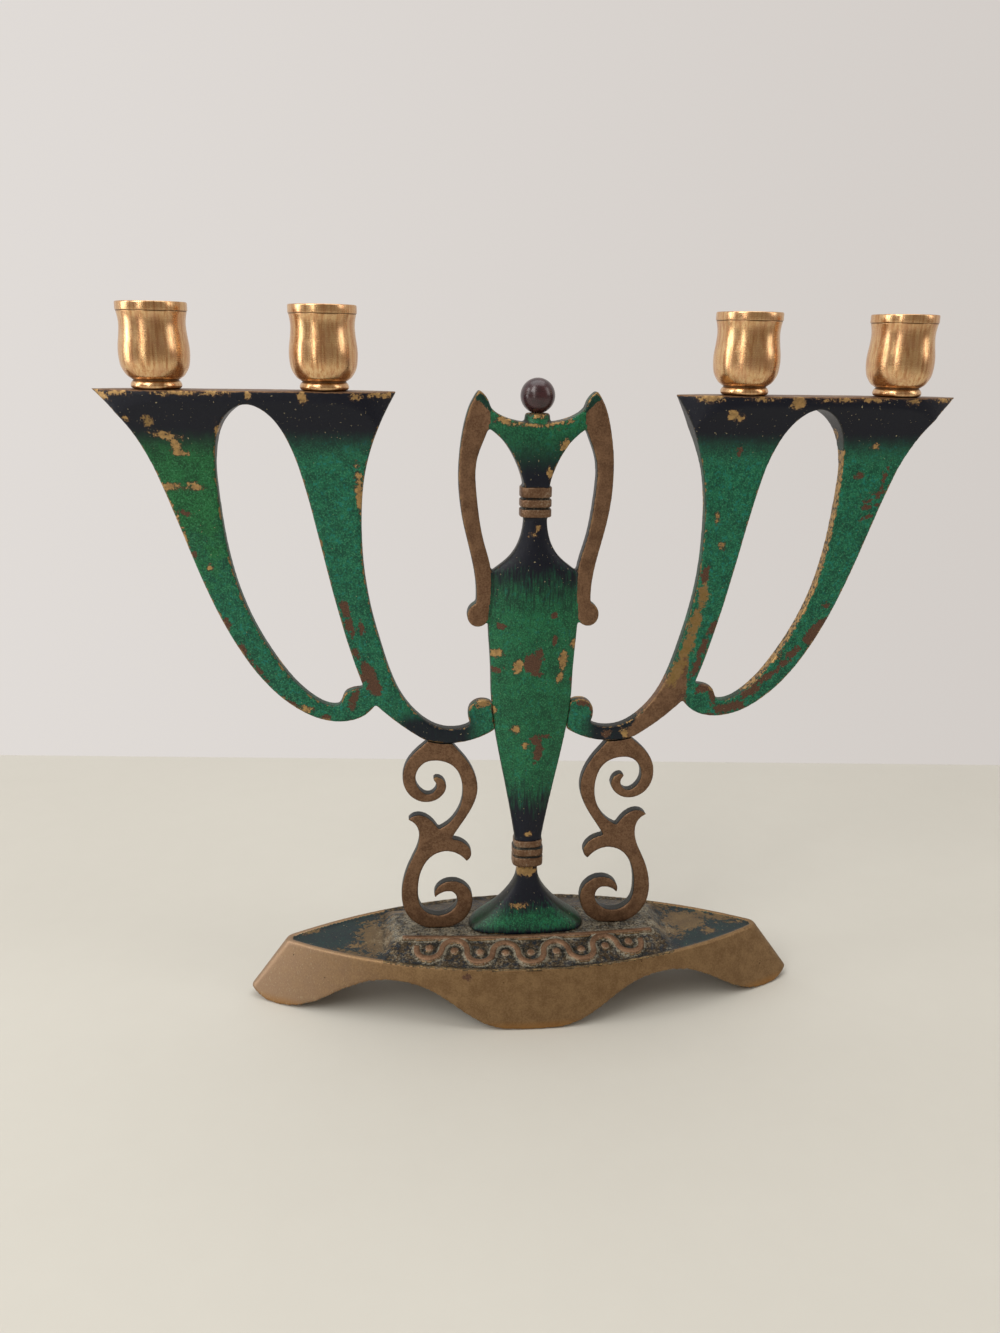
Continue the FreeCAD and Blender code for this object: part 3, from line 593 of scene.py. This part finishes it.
def paint_layers(mesh, bare, dark, dust=0.0, gold=FAR_OUTSIDE, rust=FAR_OUTSIDE, khaki=FAR_OUTSIDE):
    """The layers that the finish reads. Gold, rust and khaki are depths inside the worn spots, in mm."""
    layers = {"gold": gold, "rust": rust, "khaki": khaki, "bare": bare, "dark": dark, "dust": dust}
    for name, values in layers.items():
        store(mesh, name, np.broadcast_to(values, len(mesh.vertices)))


# ---------------------------------------------------------------- castings

VOXEL = 0.5
BASE_VOXEL = 0.62

# collar bands: bottom, top and half width in mm
LOWER_COLLAR = ((52.3, 55.8, 5.75), (56.5, 59.4, 5.75), (59.9, 62.4, 5.35))
UPPER_COLLAR = ((183.0, 185.7, 5.45), (186.4, 189.0, 5.45), (189.7, 193.2, 5.45))
COLLAR_DEPTH = 0.86
COLLAR_GROOVE = 0.6
COLLAR_SQUARENESS = 3.4

# the right handle's bare front face: x, z in mm
HANDLE_FRONT = [(19.7, 226.0), (22.5, 220.5), (25.0, 213.0), (26.7, 197.0), (24.9, 180.5), (21.1, 164.0),
                (20.4, 152.8), (23.0, 151.0), (23.4, 147.6), (20.9, 144.0), (17.4, 144.4), (15.8, 147.6),
                (15.2, 156.0), (15.0, 165.0), (17.2, 173.5), (20.0, 190.0), (19.8, 203.0), (16.4, 212.5),
                (15.6, 219.6)]


def make_arm(side):
    """Two green horns, black at the top and at the root. A stretch of the right one is worn to the brass."""
    name = "arm_pair_" + side
    mesh = cast_mesh(name, VOXEL, 5, 0.07)
    co = points_of(mesh) / MM
    x, z = np.abs(co[:, 0]), co[:, 2]
    dark = np.interp(z, [200.0, 214.0], [0.0, 1.0])
    root = np.interp(x, [15.0, 24.0, 44.0, 54.0], [0.0, 0.8, 0.8, 0.0])
    root *= np.interp(z, [109.0, 117.0], [1.0, 0.0])
    bare = np.interp(z, [223.2, 223.7], [0.0, 0.85])
    spot_x, spot_z = spots_from_front(points_of(mesh))
    gold = spot_depth(spot_x, spot_z, GOLD_SPOTS)
    if side == "right":
        stripped = np.interp(x, [32.0, 36.0, 55.0, 57.5], [0.0, 1.0, 1.0, 0.0])
        stripped *= np.interp(z - 1.5 * (x - 46), [118.0, 124.0], [1.0, 0.0])
        bare = np.maximum(bare, stripped)
        # the slot's left-facing side shown as worn brass: partly wear, partly a painted highlight where the
        # light from the left falls
        worn_and_lit_slot_side = (normals_of(mesh)[:, 0] < -0.6) & (x > 64) & (z > 119) & (z < 206)
        gold = np.where(worn_and_lit_slot_side, np.maximum(gold, 0.25), gold)
    paint_layers(mesh, bare, np.maximum(dark, root), 0.0, gold, spot_depth(spot_x, spot_z, RUST_SPOTS),
                 spot_depth(spot_x, spot_z, KHAKI_SPOTS))
    return finished(mesh, name + "_casting", name, arm_finish)


def make_vase():
    """The post, drawn in under the collars so that they cover it, with bare brass on the handles' faces."""
    mesh = cast_mesh("vase", VOXEL, 4, 0.06)
    co = points_of(mesh) / MM
    for bands in (LOWER_COLLAR, UPPER_COLLAR):
        covered = (np.abs(co[:, 0]) < 6.5) & (co[:, 2] > bands[0][0] + 0.2) & (co[:, 2] < bands[-1][1] - 0.2)
        co[covered, :2] *= 0.8
    set_points(mesh, co * MM)
    normal = normals_of(mesh)
    x, y, z = np.abs(co[:, 0]), np.abs(co[:, 1]), co[:, 2]
    handle = inside(x, z, HANDLE_FRONT) & (y > 2.2) & (np.abs(normal[:, 1]) > 0.5)
    handle &= z < 221.5 + 0.9 * (x - 20)
    # the rise to 0.9 at the foot's bottom edge (z 26.6 to 28.6) is painted shade where the edge turns under;
    # the other stations are the black enamel
    dark = np.interp(z, [26.6, 28.6, 31.0, 40.0, 70.0, 92.0, 144.0, 170.0, 193.0, 214.0, 220.0],
                     [0.9, 0.5, 0.28, 1.0, 1.0, 0.0, 0.0, 1.0, 1.0, 0.2, 0.1])
    dark = np.maximum(dark, np.where(inside(x, z, HANDLE_FRONT), 0.6, 0.0))
    spot_x, spot_z = spots_from_front(points_of(mesh))
    paint_layers(mesh, handle.astype(float), dark, 0.0, spot_depth(spot_x, spot_z, GOLD_SPOTS),
                 spot_depth(spot_x, spot_z, RUST_SPOTS))
    return finished(mesh, "vase_casting", "vase", vase_finish)


def make_scroll(side):
    """Brown brass on both faces, dark on the sides."""
    name = "scroll_" + side
    mesh = cast_mesh(name, VOXEL * 0.8, 5, 0.05)
    facing = np.clip((np.abs(normals_of(mesh)[:, 1]) - 0.45) / 0.3, 0, 1)
    paint_layers(mesh, facing, 0.8)
    return finished(mesh, name + "_casting", name, scroll_finish)


def make_base():
    """Bare brass skirt and rim round a painted, worn and dusty top."""
    mesh = cast_mesh("base", BASE_VOXEL, 3, 0.05)
    co = points_of(mesh) / MM
    normal = normals_of(mesh)
    x, y, z = co[:, 0], co[:, 1], co[:, 2]
    away = np.abs(x)
    rim = (z > 22.95) & (away > 54)
    top = (z > 22.2) & (normal[:, 2] > 0.72) & ~rim
    pad = np.interp(away, [50.0, 60.0], [1.0, 0.0])
    front_x = np.where(y < 20, x, -x)
    bare = np.where(top, 0.42 * pad + 0.12, 1.0)
    nearest = np.full(len(co), np.inf)
    slope = np.flatnonzero(top & (y < -6) & (away < 54))
    for wave_x, wave_y in wave_path() + bar_path():
        nearest[slope] = np.minimum(nearest[slope], np.hypot(x[slope] - wave_x, y[slope] - wave_y))
    beside = np.interp(nearest, [1.0, 1.5, 2.4], [1.0, 0.9, 0.0])
    rear_pad = np.interp(np.abs(y), [8.0, 12.0], [0.7, 0.22])
    dust = np.where(top, np.maximum(pad * rear_pad, beside) + 0.06, 0.0)
    tan = np.where(top, 0.5 * spot_depth(front_x, y, BASE_TAN_SPOTS) - 0.35, FAR_OUTSIDE)
    brown = np.where(top, 0.3 * spot_depth(front_x, y, BASE_BROWN_SPOTS), FAR_OUTSIDE)
    pit = np.where(~top & (y < -20), spot_depth(x, z, BASE_PIT) + 0.4, FAR_OUTSIDE)
    paint_layers(mesh, bare, np.where(top, 0.72 + 0.1 * pad, 0.3), dust, tan, pit, brown)
    return finished(mesh, "base_casting", "base", base_finish)


def finished(mesh, name, node, material):
    """A casting's mesh as a piece in the place of its CAD node."""
    mesh.shade_smooth()
    mesh.materials.append(material)
    piece = add_object(name, mesh)
    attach(piece, "candelabrum")
    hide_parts(node)
    return piece


arm_finish = cast_finish("arm_enamel_finish")
vase_finish = cast_finish("vase_enamel_finish", streaks=0.55, leafy=0.55)
scroll_finish = cast_finish("brown_brass_finish", side_share=0.9, pebble=0.7)
base_finish = cast_finish("base_brass_finish", pebble=0.5, skirt=True)


# ---------------------------------------------------------------- raised ornament on the base (mm)

PAD_LOW_Z = 22.7
PAD_TOP_Z = 26.4
TOP_ARC_CENTRE = 139.7
PAD_LOW_ARC_R = 166.3
PAD_HIGH_MID = 12.0
PAD_HIGH_END = 9.5
PAD_HIGH_HALF_LENGTH = 49.5
RELIEF = 1.06
SUNK = 0.6
WAVE_R = 4.7
WAVE_WIDTH = 2.2
WAVE_LOOPS = 9
WAVE_LINE = 19.3
BAR_LINE = 11.35
BAR_HALF_LENGTH = 47.0
BAR_WIDTH = 2.1
BEAD_R = 1.55


def pad_height(x, y):
    """Height of the pad's sloping front under a point, in mm."""
    low_y = TOP_ARC_CENTRE - math.sqrt(PAD_LOW_ARC_R ** 2 - x ** 2)
    high_y = -PAD_HIGH_MID + (PAD_HIGH_MID - PAD_HIGH_END) * (x / PAD_HIGH_HALF_LENGTH) ** 2
    share = (y - low_y) / (high_y - low_y)
    return PAD_LOW_Z + (PAD_TOP_Z - PAD_LOW_Z) * min(1, max(0, share))


def on_line(along, offset):
    """A point at an angle along the wave's arc and an offset towards the front, in mm."""
    r = TOP_ARC_CENTRE + offset
    return r * math.sin(along), TOP_ARC_CENTRE - r * math.cos(along)


def ribbon(name, path, width):
    """A raised strip with rounded shoulders that follows the pad's slope along a path of x, y points."""
    half = width / 2
    shoulder = [(half - 0.42, RELIEF), (half - 0.12, 0.86 * RELIEF), (half, 0.55 * RELIEF), (half, -SUNK)]
    profile = [(-across, lift) for across, lift in reversed(shoulder)] + shoulder
    points, faces = [], []
    for i, (x, y) in enumerate(path):
        before, after = path[max(i - 1, 0)], path[min(i + 1, len(path) - 1)]
        length = math.hypot(after[0] - before[0], after[1] - before[1])
        across = Vector((-(after[1] - before[1]), after[0] - before[0])) / length
        for shift, lift in profile:
            px, py = x + across.x * shift, y + across.y * shift
            points.append((px * MM, py * MM, (pad_height(px, py) + lift) * MM))
    count = len(profile)
    for row in range(len(path) - 1):
        for i in range(count):
            j = (i + 1) % count
            faces.append((row * count + i, row * count + j, (row + 1) * count + j, (row + 1) * count + i))
    faces.append(tuple(range(count)))
    faces.append(tuple(reversed(range((len(path) - 1) * count, len(path) * count))))
    return raised(name, points, faces)


def bead(name, x, y, rings=6, turns=24):
    """A small dome standing on the pad's slope."""
    points, faces = [], []
    for ring in range(rings + 1):
        angle = math.pi / 2 * ring / rings
        r = BEAD_R * math.cos(angle)
        for i in range(turns):
            turn = 2 * math.pi * i / turns
            px, py = x + r * math.cos(turn), y + r * math.sin(turn)
            lift = RELIEF * (0.35 + 0.65 * math.sin(angle))
            points.append((px * MM, py * MM, (pad_height(px, py) + lift) * MM))
    for i in range(turns):
        turn = 2 * math.pi * i / turns
        px, py = x + BEAD_R * math.cos(turn), y + BEAD_R * math.sin(turn)
        points.append((px * MM, py * MM, (pad_height(px, py) - SUNK) * MM))
    for ring in range(rings):
        for i in range(turns):
            j = (i + 1) % turns
            faces.append((ring * turns + i, ring * turns + j, (ring + 1) * turns + j, (ring + 1) * turns + i))
    skirt = (rings + 1) * turns
    for i in range(turns):
        j = (i + 1) % turns
        faces.append((skirt + i, skirt + j, j, i))
    return raised(name, points, faces)


def raised(name, points, faces):
    """A raised piece: brown on top, with dust low down on its sides."""
    mesh = bpy.data.meshes.new(name)
    mesh.from_pydata(points, [], faces)
    mesh.validate()
    work = bmesh.new()
    work.from_mesh(mesh)
    bmesh.ops.remove_doubles(work, verts=work.verts, dist=1e-6)
    bmesh.ops.recalc_face_normals(work, faces=work.faces)
    work.to_mesh(mesh)
    work.free()
    mesh.shade_smooth()
    co = points_of(mesh) / MM
    above = co[:, 2] - np.array([pad_height(x, y) for x, y in co[:, :2]])
    store(mesh, "lift", np.zeros(len(co)))
    paint_layers(mesh, 1.0, 0.0, np.interp(above, [0.5 * RELIEF, 0.95 * RELIEF], [0.9, 0.04]))
    mesh.materials.append(ornament_finish)
    piece = add_object(name, mesh)
    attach(piece, "candelabrum")
    return piece


def wave_middles():
    """Each loop's angle along the arc and the side that it bulges to, -1 for the front."""
    step = 2 * WAVE_R / (TOP_ARC_CENTRE + WAVE_LINE)
    first = -(WAVE_LOOPS - 1) / 2
    return [((first + loop) * step, -1 if loop % 2 else 1) for loop in range(WAVE_LOOPS)]


def wave_path(points_each=24):
    """Half rings end to end, turned to the front and the back by turns, as x, y points in mm."""
    line_r = TOP_ARC_CENTRE + WAVE_LINE
    path = []
    for middle, side in wave_middles():
        for i in range(points_each):
            turn = math.pi * i / points_each
            path.append(on_line(middle - WAVE_R * math.cos(turn) / line_r,
                                WAVE_LINE + side * WAVE_R * math.sin(turn)))
    path.append(on_line(wave_middles()[-1][0] + WAVE_R / line_r, WAVE_LINE))
    return path


def bar_path(points=81):
    """The bar's line along the pad's upper edge, as x, y points in mm."""
    path = []
    for i in range(points):
        x = BAR_HALF_LENGTH * (2 * i / (points - 1) - 1)
        path.append((x, -BAR_LINE + (PAD_HIGH_MID - PAD_HIGH_END) * (x / PAD_HIGH_HALF_LENGTH) ** 2))
    return path


def make_ornament():
    for number, (middle, _) in enumerate(wave_middles(), 1):
        bead("base_bead_%d" % number, *on_line(middle, WAVE_LINE))
    ribbon("base_wave", wave_path(), WAVE_WIDTH)
    ribbon("base_bar", bar_path(), BAR_WIDTH)


ornament_finish = cast_finish("ornament_brass_finish", side_share=0.2, pebble=0.8)
make_arm("left")
make_arm("right")
make_vase()
make_scroll("left")
make_scroll("right")
make_base()
make_ornament()


# ---------------------------------------------------------------- turned parts

def through(points, steps=6):
    """A smooth run through the given r, z points (Catmull-Rom)."""
    ends = [points[0]] + list(points) + [points[-1]]
    run = []
    for a, b, c, d in zip(ends, ends[1:], ends[2:], ends[3:]):
        for i in range(steps):
            t = i / steps
            run.append(tuple(0.5 * (2 * q + (r - p) * t + (2 * p - 5 * q + 4 * r - s) * t ** 2
                                    + (3 * q - p - 3 * r + s) * t ** 3) for p, q, r, s in zip(a, b, c, d)))
    run.append(tuple(points[-1]))
    return run


def lathe(name, profile, turns=96, radius=None):
    """A closed skin round the Z axis from an r, z profile in mm. Radius may bend it: radius(angle, r, z)."""
    points, faces = [], []
    for r, z in profile:
        for i in range(turns):
            angle = 2 * math.pi * i / turns
            reach = radius(angle, r, z) if radius else r
            points.append((reach * math.cos(angle) * MM, reach * math.sin(angle) * MM, z * MM))
    for row in range(len(profile) - 1):
        for i in range(turns):
            j = (i + 1) % turns
            faces.append((row * turns + i, row * turns + j, (row + 1) * turns + j, (row + 1) * turns + i))
    mesh = bpy.data.meshes.new(name)
    mesh.from_pydata(points, [], faces)
    mesh.validate()
    return mesh


def make_collar(name, bands):
    """Stacked bands with grooves between, flattened from front to back."""
    profile = [(0.0, bands[0][0])]
    for z0, z1, half in bands:
        profile += [(half - COLLAR_GROOVE, z0), (half - 0.3, z0 + 0.03), (half - 0.08, z0 + 0.16),
                    (half, z0 + 0.42), (half, (z0 + z1) / 2), (half, z1 - 0.42),
                    (half - 0.08, z1 - 0.16), (half - 0.3, z1 - 0.03), (half - COLLAR_GROOVE, z1)]
    profile.append((0.0, bands[-1][1]))

    def flattened(angle, r, z):
        across, along = abs(math.cos(angle)), abs(math.sin(angle)) / COLLAR_DEPTH
        return r / (across ** COLLAR_SQUARENESS + along ** COLLAR_SQUARENESS) ** (1 / COLLAR_SQUARENESS)

    mesh = lathe(name, profile, 120, flattened)
    co = points_of(mesh) / MM
    groove = np.zeros(len(co))
    for (_, z1, _), (z2, _, _) in zip(bands, bands[1:]):
        groove = np.maximum(groove, np.interp(np.abs(co[:, 2] - (z1 + z2) / 2), [0.28, 0.45], [1.0, 0.0]))
    # the grooves' negative lift darkens them in the finish: grime and painted shade
    store(mesh, "lift", -0.5 * groove)
    paint_layers(mesh, 1.0 - 0.9 * groove, 0.9, 0.25)
    mesh.shade_smooth()
    mesh.materials.append(scroll_finish)
    piece = add_object(name, mesh)
    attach(piece, "candelabrum")


CUP_SEAT_R = 6.9
CUP_NECK_R = 7.05
CUP_NECK_Z = 2.8
CUP_SOCKET_R = 9.0
CUP_SOCKET_FLOOR = 8.6
STUD_HOLE_R = 2.55
STUD_HOLE_TOP = 6.1
CUP_TURN_APART = 1.3


def make_cup(number):
    """A tulip-shaped cup on a turned foot, with a plain band round its rim and a straight socket."""
    node = "candle_cup_%d" % number
    low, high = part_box(node)
    height = (high.z - low.z) / MM
    rim_r = (high.x - low.x) / 2 / MM
    under = [(0.0, STUD_HOLE_TOP), (STUD_HOLE_R, STUD_HOLE_TOP), (STUD_HOLE_R, 0.2), (2.8, 0.0), (6.5, 0.0)]
    foot = through([(CUP_SEAT_R, 0.0), (7.6, 0.35), (7.95, 1.0), (7.8, 1.8), (7.4, 2.4),
                    (CUP_NECK_R, 2.7)], 4)
    side = through([(CUP_NECK_R, 2.85), (8.0, 3.45), (9.1, 4.4), (10.5, 6.9), (11.0, 10.2), (10.95, 13.2),
                    (10.5, 16.6), (10.25, 19.6), (10.4, 21.8), (rim_r - 0.22, height - 2.86)], 5)
    band = [(rim_r - 0.3, height - 2.82), (rim_r - 0.3, height - 2.74), (rim_r - 0.05, height - 2.66),
            (rim_r - 0.005, height - 2.5), (rim_r - 0.005, height - 0.5), (rim_r - 0.06, height - 0.25),
            (rim_r - 0.2, height - 0.06), (rim_r - 0.4, height)]
    mouth = [(9.6, height), (9.35, height - 0.1), (9.1, height - 0.35), (CUP_SOCKET_R, height - 0.6)]
    socket = [(CUP_SOCKET_R, height - 6), (CUP_SOCKET_R, height - 12), (CUP_SOCKET_R, 9.0), (8.9, 8.7),
              (8.6, CUP_SOCKET_FLOOR), (5.0, CUP_SOCKET_FLOOR), (0.0, CUP_SOCKET_FLOOR)]
    mesh = lathe(node + "_turned", under + foot + side + band + mouth + socket)
    co = points_of(mesh) / MM
    radius = np.hypot(co[:, 0], co[:, 1])
    # painted shade inside the socket and in the neck and band grooves, and a painted contact shadow round the
    # seat, stored as deep
    socket_shade = (radius < CUP_SOCKET_R + 0.2) & (co[:, 2] > 8) & (co[:, 2] < height - 0.5)
    neck_groove_shade = np.interp(np.abs(co[:, 2] - CUP_NECK_Z), [0.2, 0.6], [0.8, 0.0])
    seat_shadow = np.interp(co[:, 2], [0.1, 0.8], [0.9, 0.0])
    band_groove_shade = np.interp(np.abs(co[:, 2] - (height - 2.78)), [0.06, 0.2], [0.8, 0.0])
    store(mesh, "deep", np.maximum.reduce([socket_shade * 0.7, neck_groove_shade, seat_shadow, band_groove_shade]))
    mesh.shade_smooth()
    mesh.materials.append(turned_brass)
    piece = add_object(node + "_turned", mesh)
    middle = (low + high) / 2
    spin = Matrix.Rotation(CUP_TURN_APART * number, 4, "Z")
    piece.matrix_world = Matrix.Translation((middle.x, middle.y, low.z)) @ spin
    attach(piece, "cup_%d" % number)
    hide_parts(node)


def make_ball():
    """A round ball, cut flat where it sits on its boss."""
    low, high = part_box("finial_ball")
    r = (high.x - low.x) / 2 / MM
    centre = high.z / MM - r
    start = math.acos((centre - low.z / MM) / r)
    arc = [start + (math.pi - start) * i / 40 for i in range(41)]
    profile = [(0.0, low.z / MM)] + [(r * math.sin(a), centre - r * math.cos(a)) for a in arc]
    mesh = lathe("finial_ball_lacquered", profile, 80)
    mesh.shade_smooth()
    mesh.materials.append(maroon_lacquer)
    piece = add_object("finial_ball_lacquered", mesh)
    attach(piece, "ball")
    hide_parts("finial_ball")


def make_thread(node, body, pitch):
    """A screw thread as one skin whose radius follows a helix."""
    low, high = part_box(node)
    outer = (high.x - low.x) / 2 / MM
    depth = 0.5 * pitch
    length = (high.z - low.z) / MM

    def thread(angle, r, z):
        wave = abs(2 * ((z / pitch - angle / (2 * math.pi)) % 1) - 1)
        fade = min(1, z / pitch, (length - z) / pitch)
        return max(r - depth * (1 - fade * wave), 0)

    rows = int(length / pitch * 8)
    profile = [(0.0, 0.0)] + [(outer, length * i / rows) for i in range(rows + 1)] + [(0.0, length)]
    mesh = lathe(node + "_threaded", profile, 40, thread)
    mesh.shade_smooth()
    mesh.materials.append(thread_steel)
    piece = add_object(node + "_threaded", mesh)
    middle = (low + high) / 2
    piece.matrix_world = Matrix.Translation((middle.x, middle.y, low.z))
    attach(piece, body)
    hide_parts(node)


CUP_THREAD_PITCH = 0.8
BALL_THREAD_PITCH = 0.5

turned_brass = turned_finish()
maroon_lacquer = lacquer_finish()
thread_steel = steel_finish()
for cup_number in (1, 2, 3, 4):
    make_cup(cup_number)
    make_thread("cup_stud_%d" % cup_number, "stud_%d" % cup_number, CUP_THREAD_PITCH)
make_ball()
make_collar("lower_collar", LOWER_COLLAR)
make_collar("upper_collar", UPPER_COLLAR)
make_thread("finial_stud", "ball_stud", BALL_THREAD_PITCH)
for fastener, node_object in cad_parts.items():
    if fastener.endswith(("_screw", "_washer")):
        node_object.data.materials.clear()
        node_object.data.materials.append(thread_steel)


# ---------------------------------------------------------------- stage and light

FLOOR_BACK = 0.235
FLOOR_BACK_SLANT = 0.08
FLOOR_FRONT = -1.0
FLOOR_SIDE = 1.0
FLOOR_PALE = srgb(205, 204, 196)
FLOOR_SHADE = srgb(194, 192, 184)
WALL_LEFT = srgb(228, 223, 219)
WALL_RIGHT = srgb(209, 203, 198)
ROOM_FRONT = srgb(150, 138, 124)


def make_floor():
    """A plain pale table top that ends behind the object at a slight slant."""
    mesh = bpy.data.meshes.new("floor")
    mesh.from_pydata([(-FLOOR_SIDE, FLOOR_FRONT, 0), (FLOOR_SIDE, FLOOR_FRONT, 0),
                      (FLOOR_SIDE, FLOOR_BACK - FLOOR_BACK_SLANT * FLOOR_SIDE, 0),
                      (-FLOOR_SIDE, FLOOR_BACK + FLOOR_BACK_SLANT * FLOOR_SIDE, 0)], [], [(0, 1, 2, 3)])
    f = Finish("floor_finish")
    cloud = f.noise(0.004, 3, 0.5)
    fine = f.noise(0.08, 4, 0.6)
    colour = f.mix(f.times(f.add(cloud, f.times(fine, 0.3)), 0.8), FLOOR_PALE, FLOOR_SHADE)
    mesh.materials.append(f.finish(Base_Color=colour, Roughness=0.6, Specular_IOR_Level=0.25))
    add_object("floor", mesh)


def make_world():
    """A pale wall behind, a little darker to the right, and a dimmer room in front."""
    world = bpy.data.worlds.new("room")
    bpy.context.scene.world = world
    world.use_nodes = True
    tree = world.node_tree
    tree.nodes.clear()
    output = tree.nodes.new("ShaderNodeOutputWorld")
    background = tree.nodes.new("ShaderNodeBackground")
    coordinates = tree.nodes.new("ShaderNodeTexCoord")
    split = tree.nodes.new("ShaderNodeSeparateXYZ")
    depth = tree.nodes.new("ShaderNodeMapRange")
    depth.interpolation_type = "SMOOTHSTEP"
    depth.inputs["From Min"].default_value = -0.6
    depth.inputs["From Max"].default_value = 0.5
    shade = tree.nodes.new("ShaderNodeMix")
    shade.data_type = "RGBA"
    shade.inputs[MIX_COLOUR_A].default_value = ROOM_FRONT
    side = tree.nodes.new("ShaderNodeMapRange")
    side.inputs["From Min"].default_value = -0.55
    side.inputs["From Max"].default_value = 0.6
    wall = tree.nodes.new("ShaderNodeMix")
    wall.data_type = "RGBA"
    wall.inputs[MIX_COLOUR_A].default_value = WALL_LEFT
    wall.inputs[MIX_COLOUR_B].default_value = WALL_RIGHT
    tree.links.new(coordinates.outputs["Generated"], split.inputs[0])
    tree.links.new(split.outputs[1], depth.inputs["Value"])
    tree.links.new(split.outputs[0], side.inputs["Value"])
    tree.links.new(side.outputs[0], wall.inputs[0])
    tree.links.new(wall.outputs[MIX_COLOUR_RESULT], shade.inputs[MIX_COLOUR_B])
    tree.links.new(depth.outputs[0], shade.inputs[0])
    tree.links.new(shade.outputs[MIX_COLOUR_RESULT], background.inputs["Color"])
    tree.links.new(background.outputs[0], output.inputs[0])
    background.inputs["Strength"].default_value = 1.0


def area_light(name, place, target, width, height, power, colour=(1, 1, 1)):
    data = bpy.data.lights.new(name, "AREA")
    data.shape = "RECTANGLE"
    data.size = width
    data.size_y = height
    data.energy = power
    data.color = colour
    light = bpy.data.objects.new(name, data)
    bpy.context.scene.collection.objects.link(light)
    direction = Vector(target) - Vector(place)
    light.matrix_world = Matrix.Translation(place) @ direction.to_track_quat("-Z", "Y").to_matrix().to_4x4()


make_floor()
make_world()
area_light("key", (-0.75, -0.75, 1.15), (0, 0, 0.12), 0.5, 0.9, 7.5, (1.0, 0.98, 0.95))
area_light("window", (-1.2, -0.12, 0.55), (0, 0, 0.2), 0.34, 1.1, 5.5, (1.0, 0.98, 0.96))
area_light("strip", (-0.56, -0.92, 0.5), (0, 0, 0.2), 0.1, 0.9, 1.5, (1.0, 0.97, 0.92))
area_light("fill", (1.0, -0.35, 0.7), (0, 0, 0.12), 0.4, 0.8, 2.2, (1.0, 0.97, 0.94))
area_light("overhead", (0.0, 0.1, 1.4), (0, 0, 0), 1.4, 1.0, 7.0, (1.0, 1.0, 1.0))
bpy.context.scene.view_settings.view_transform = "Standard"
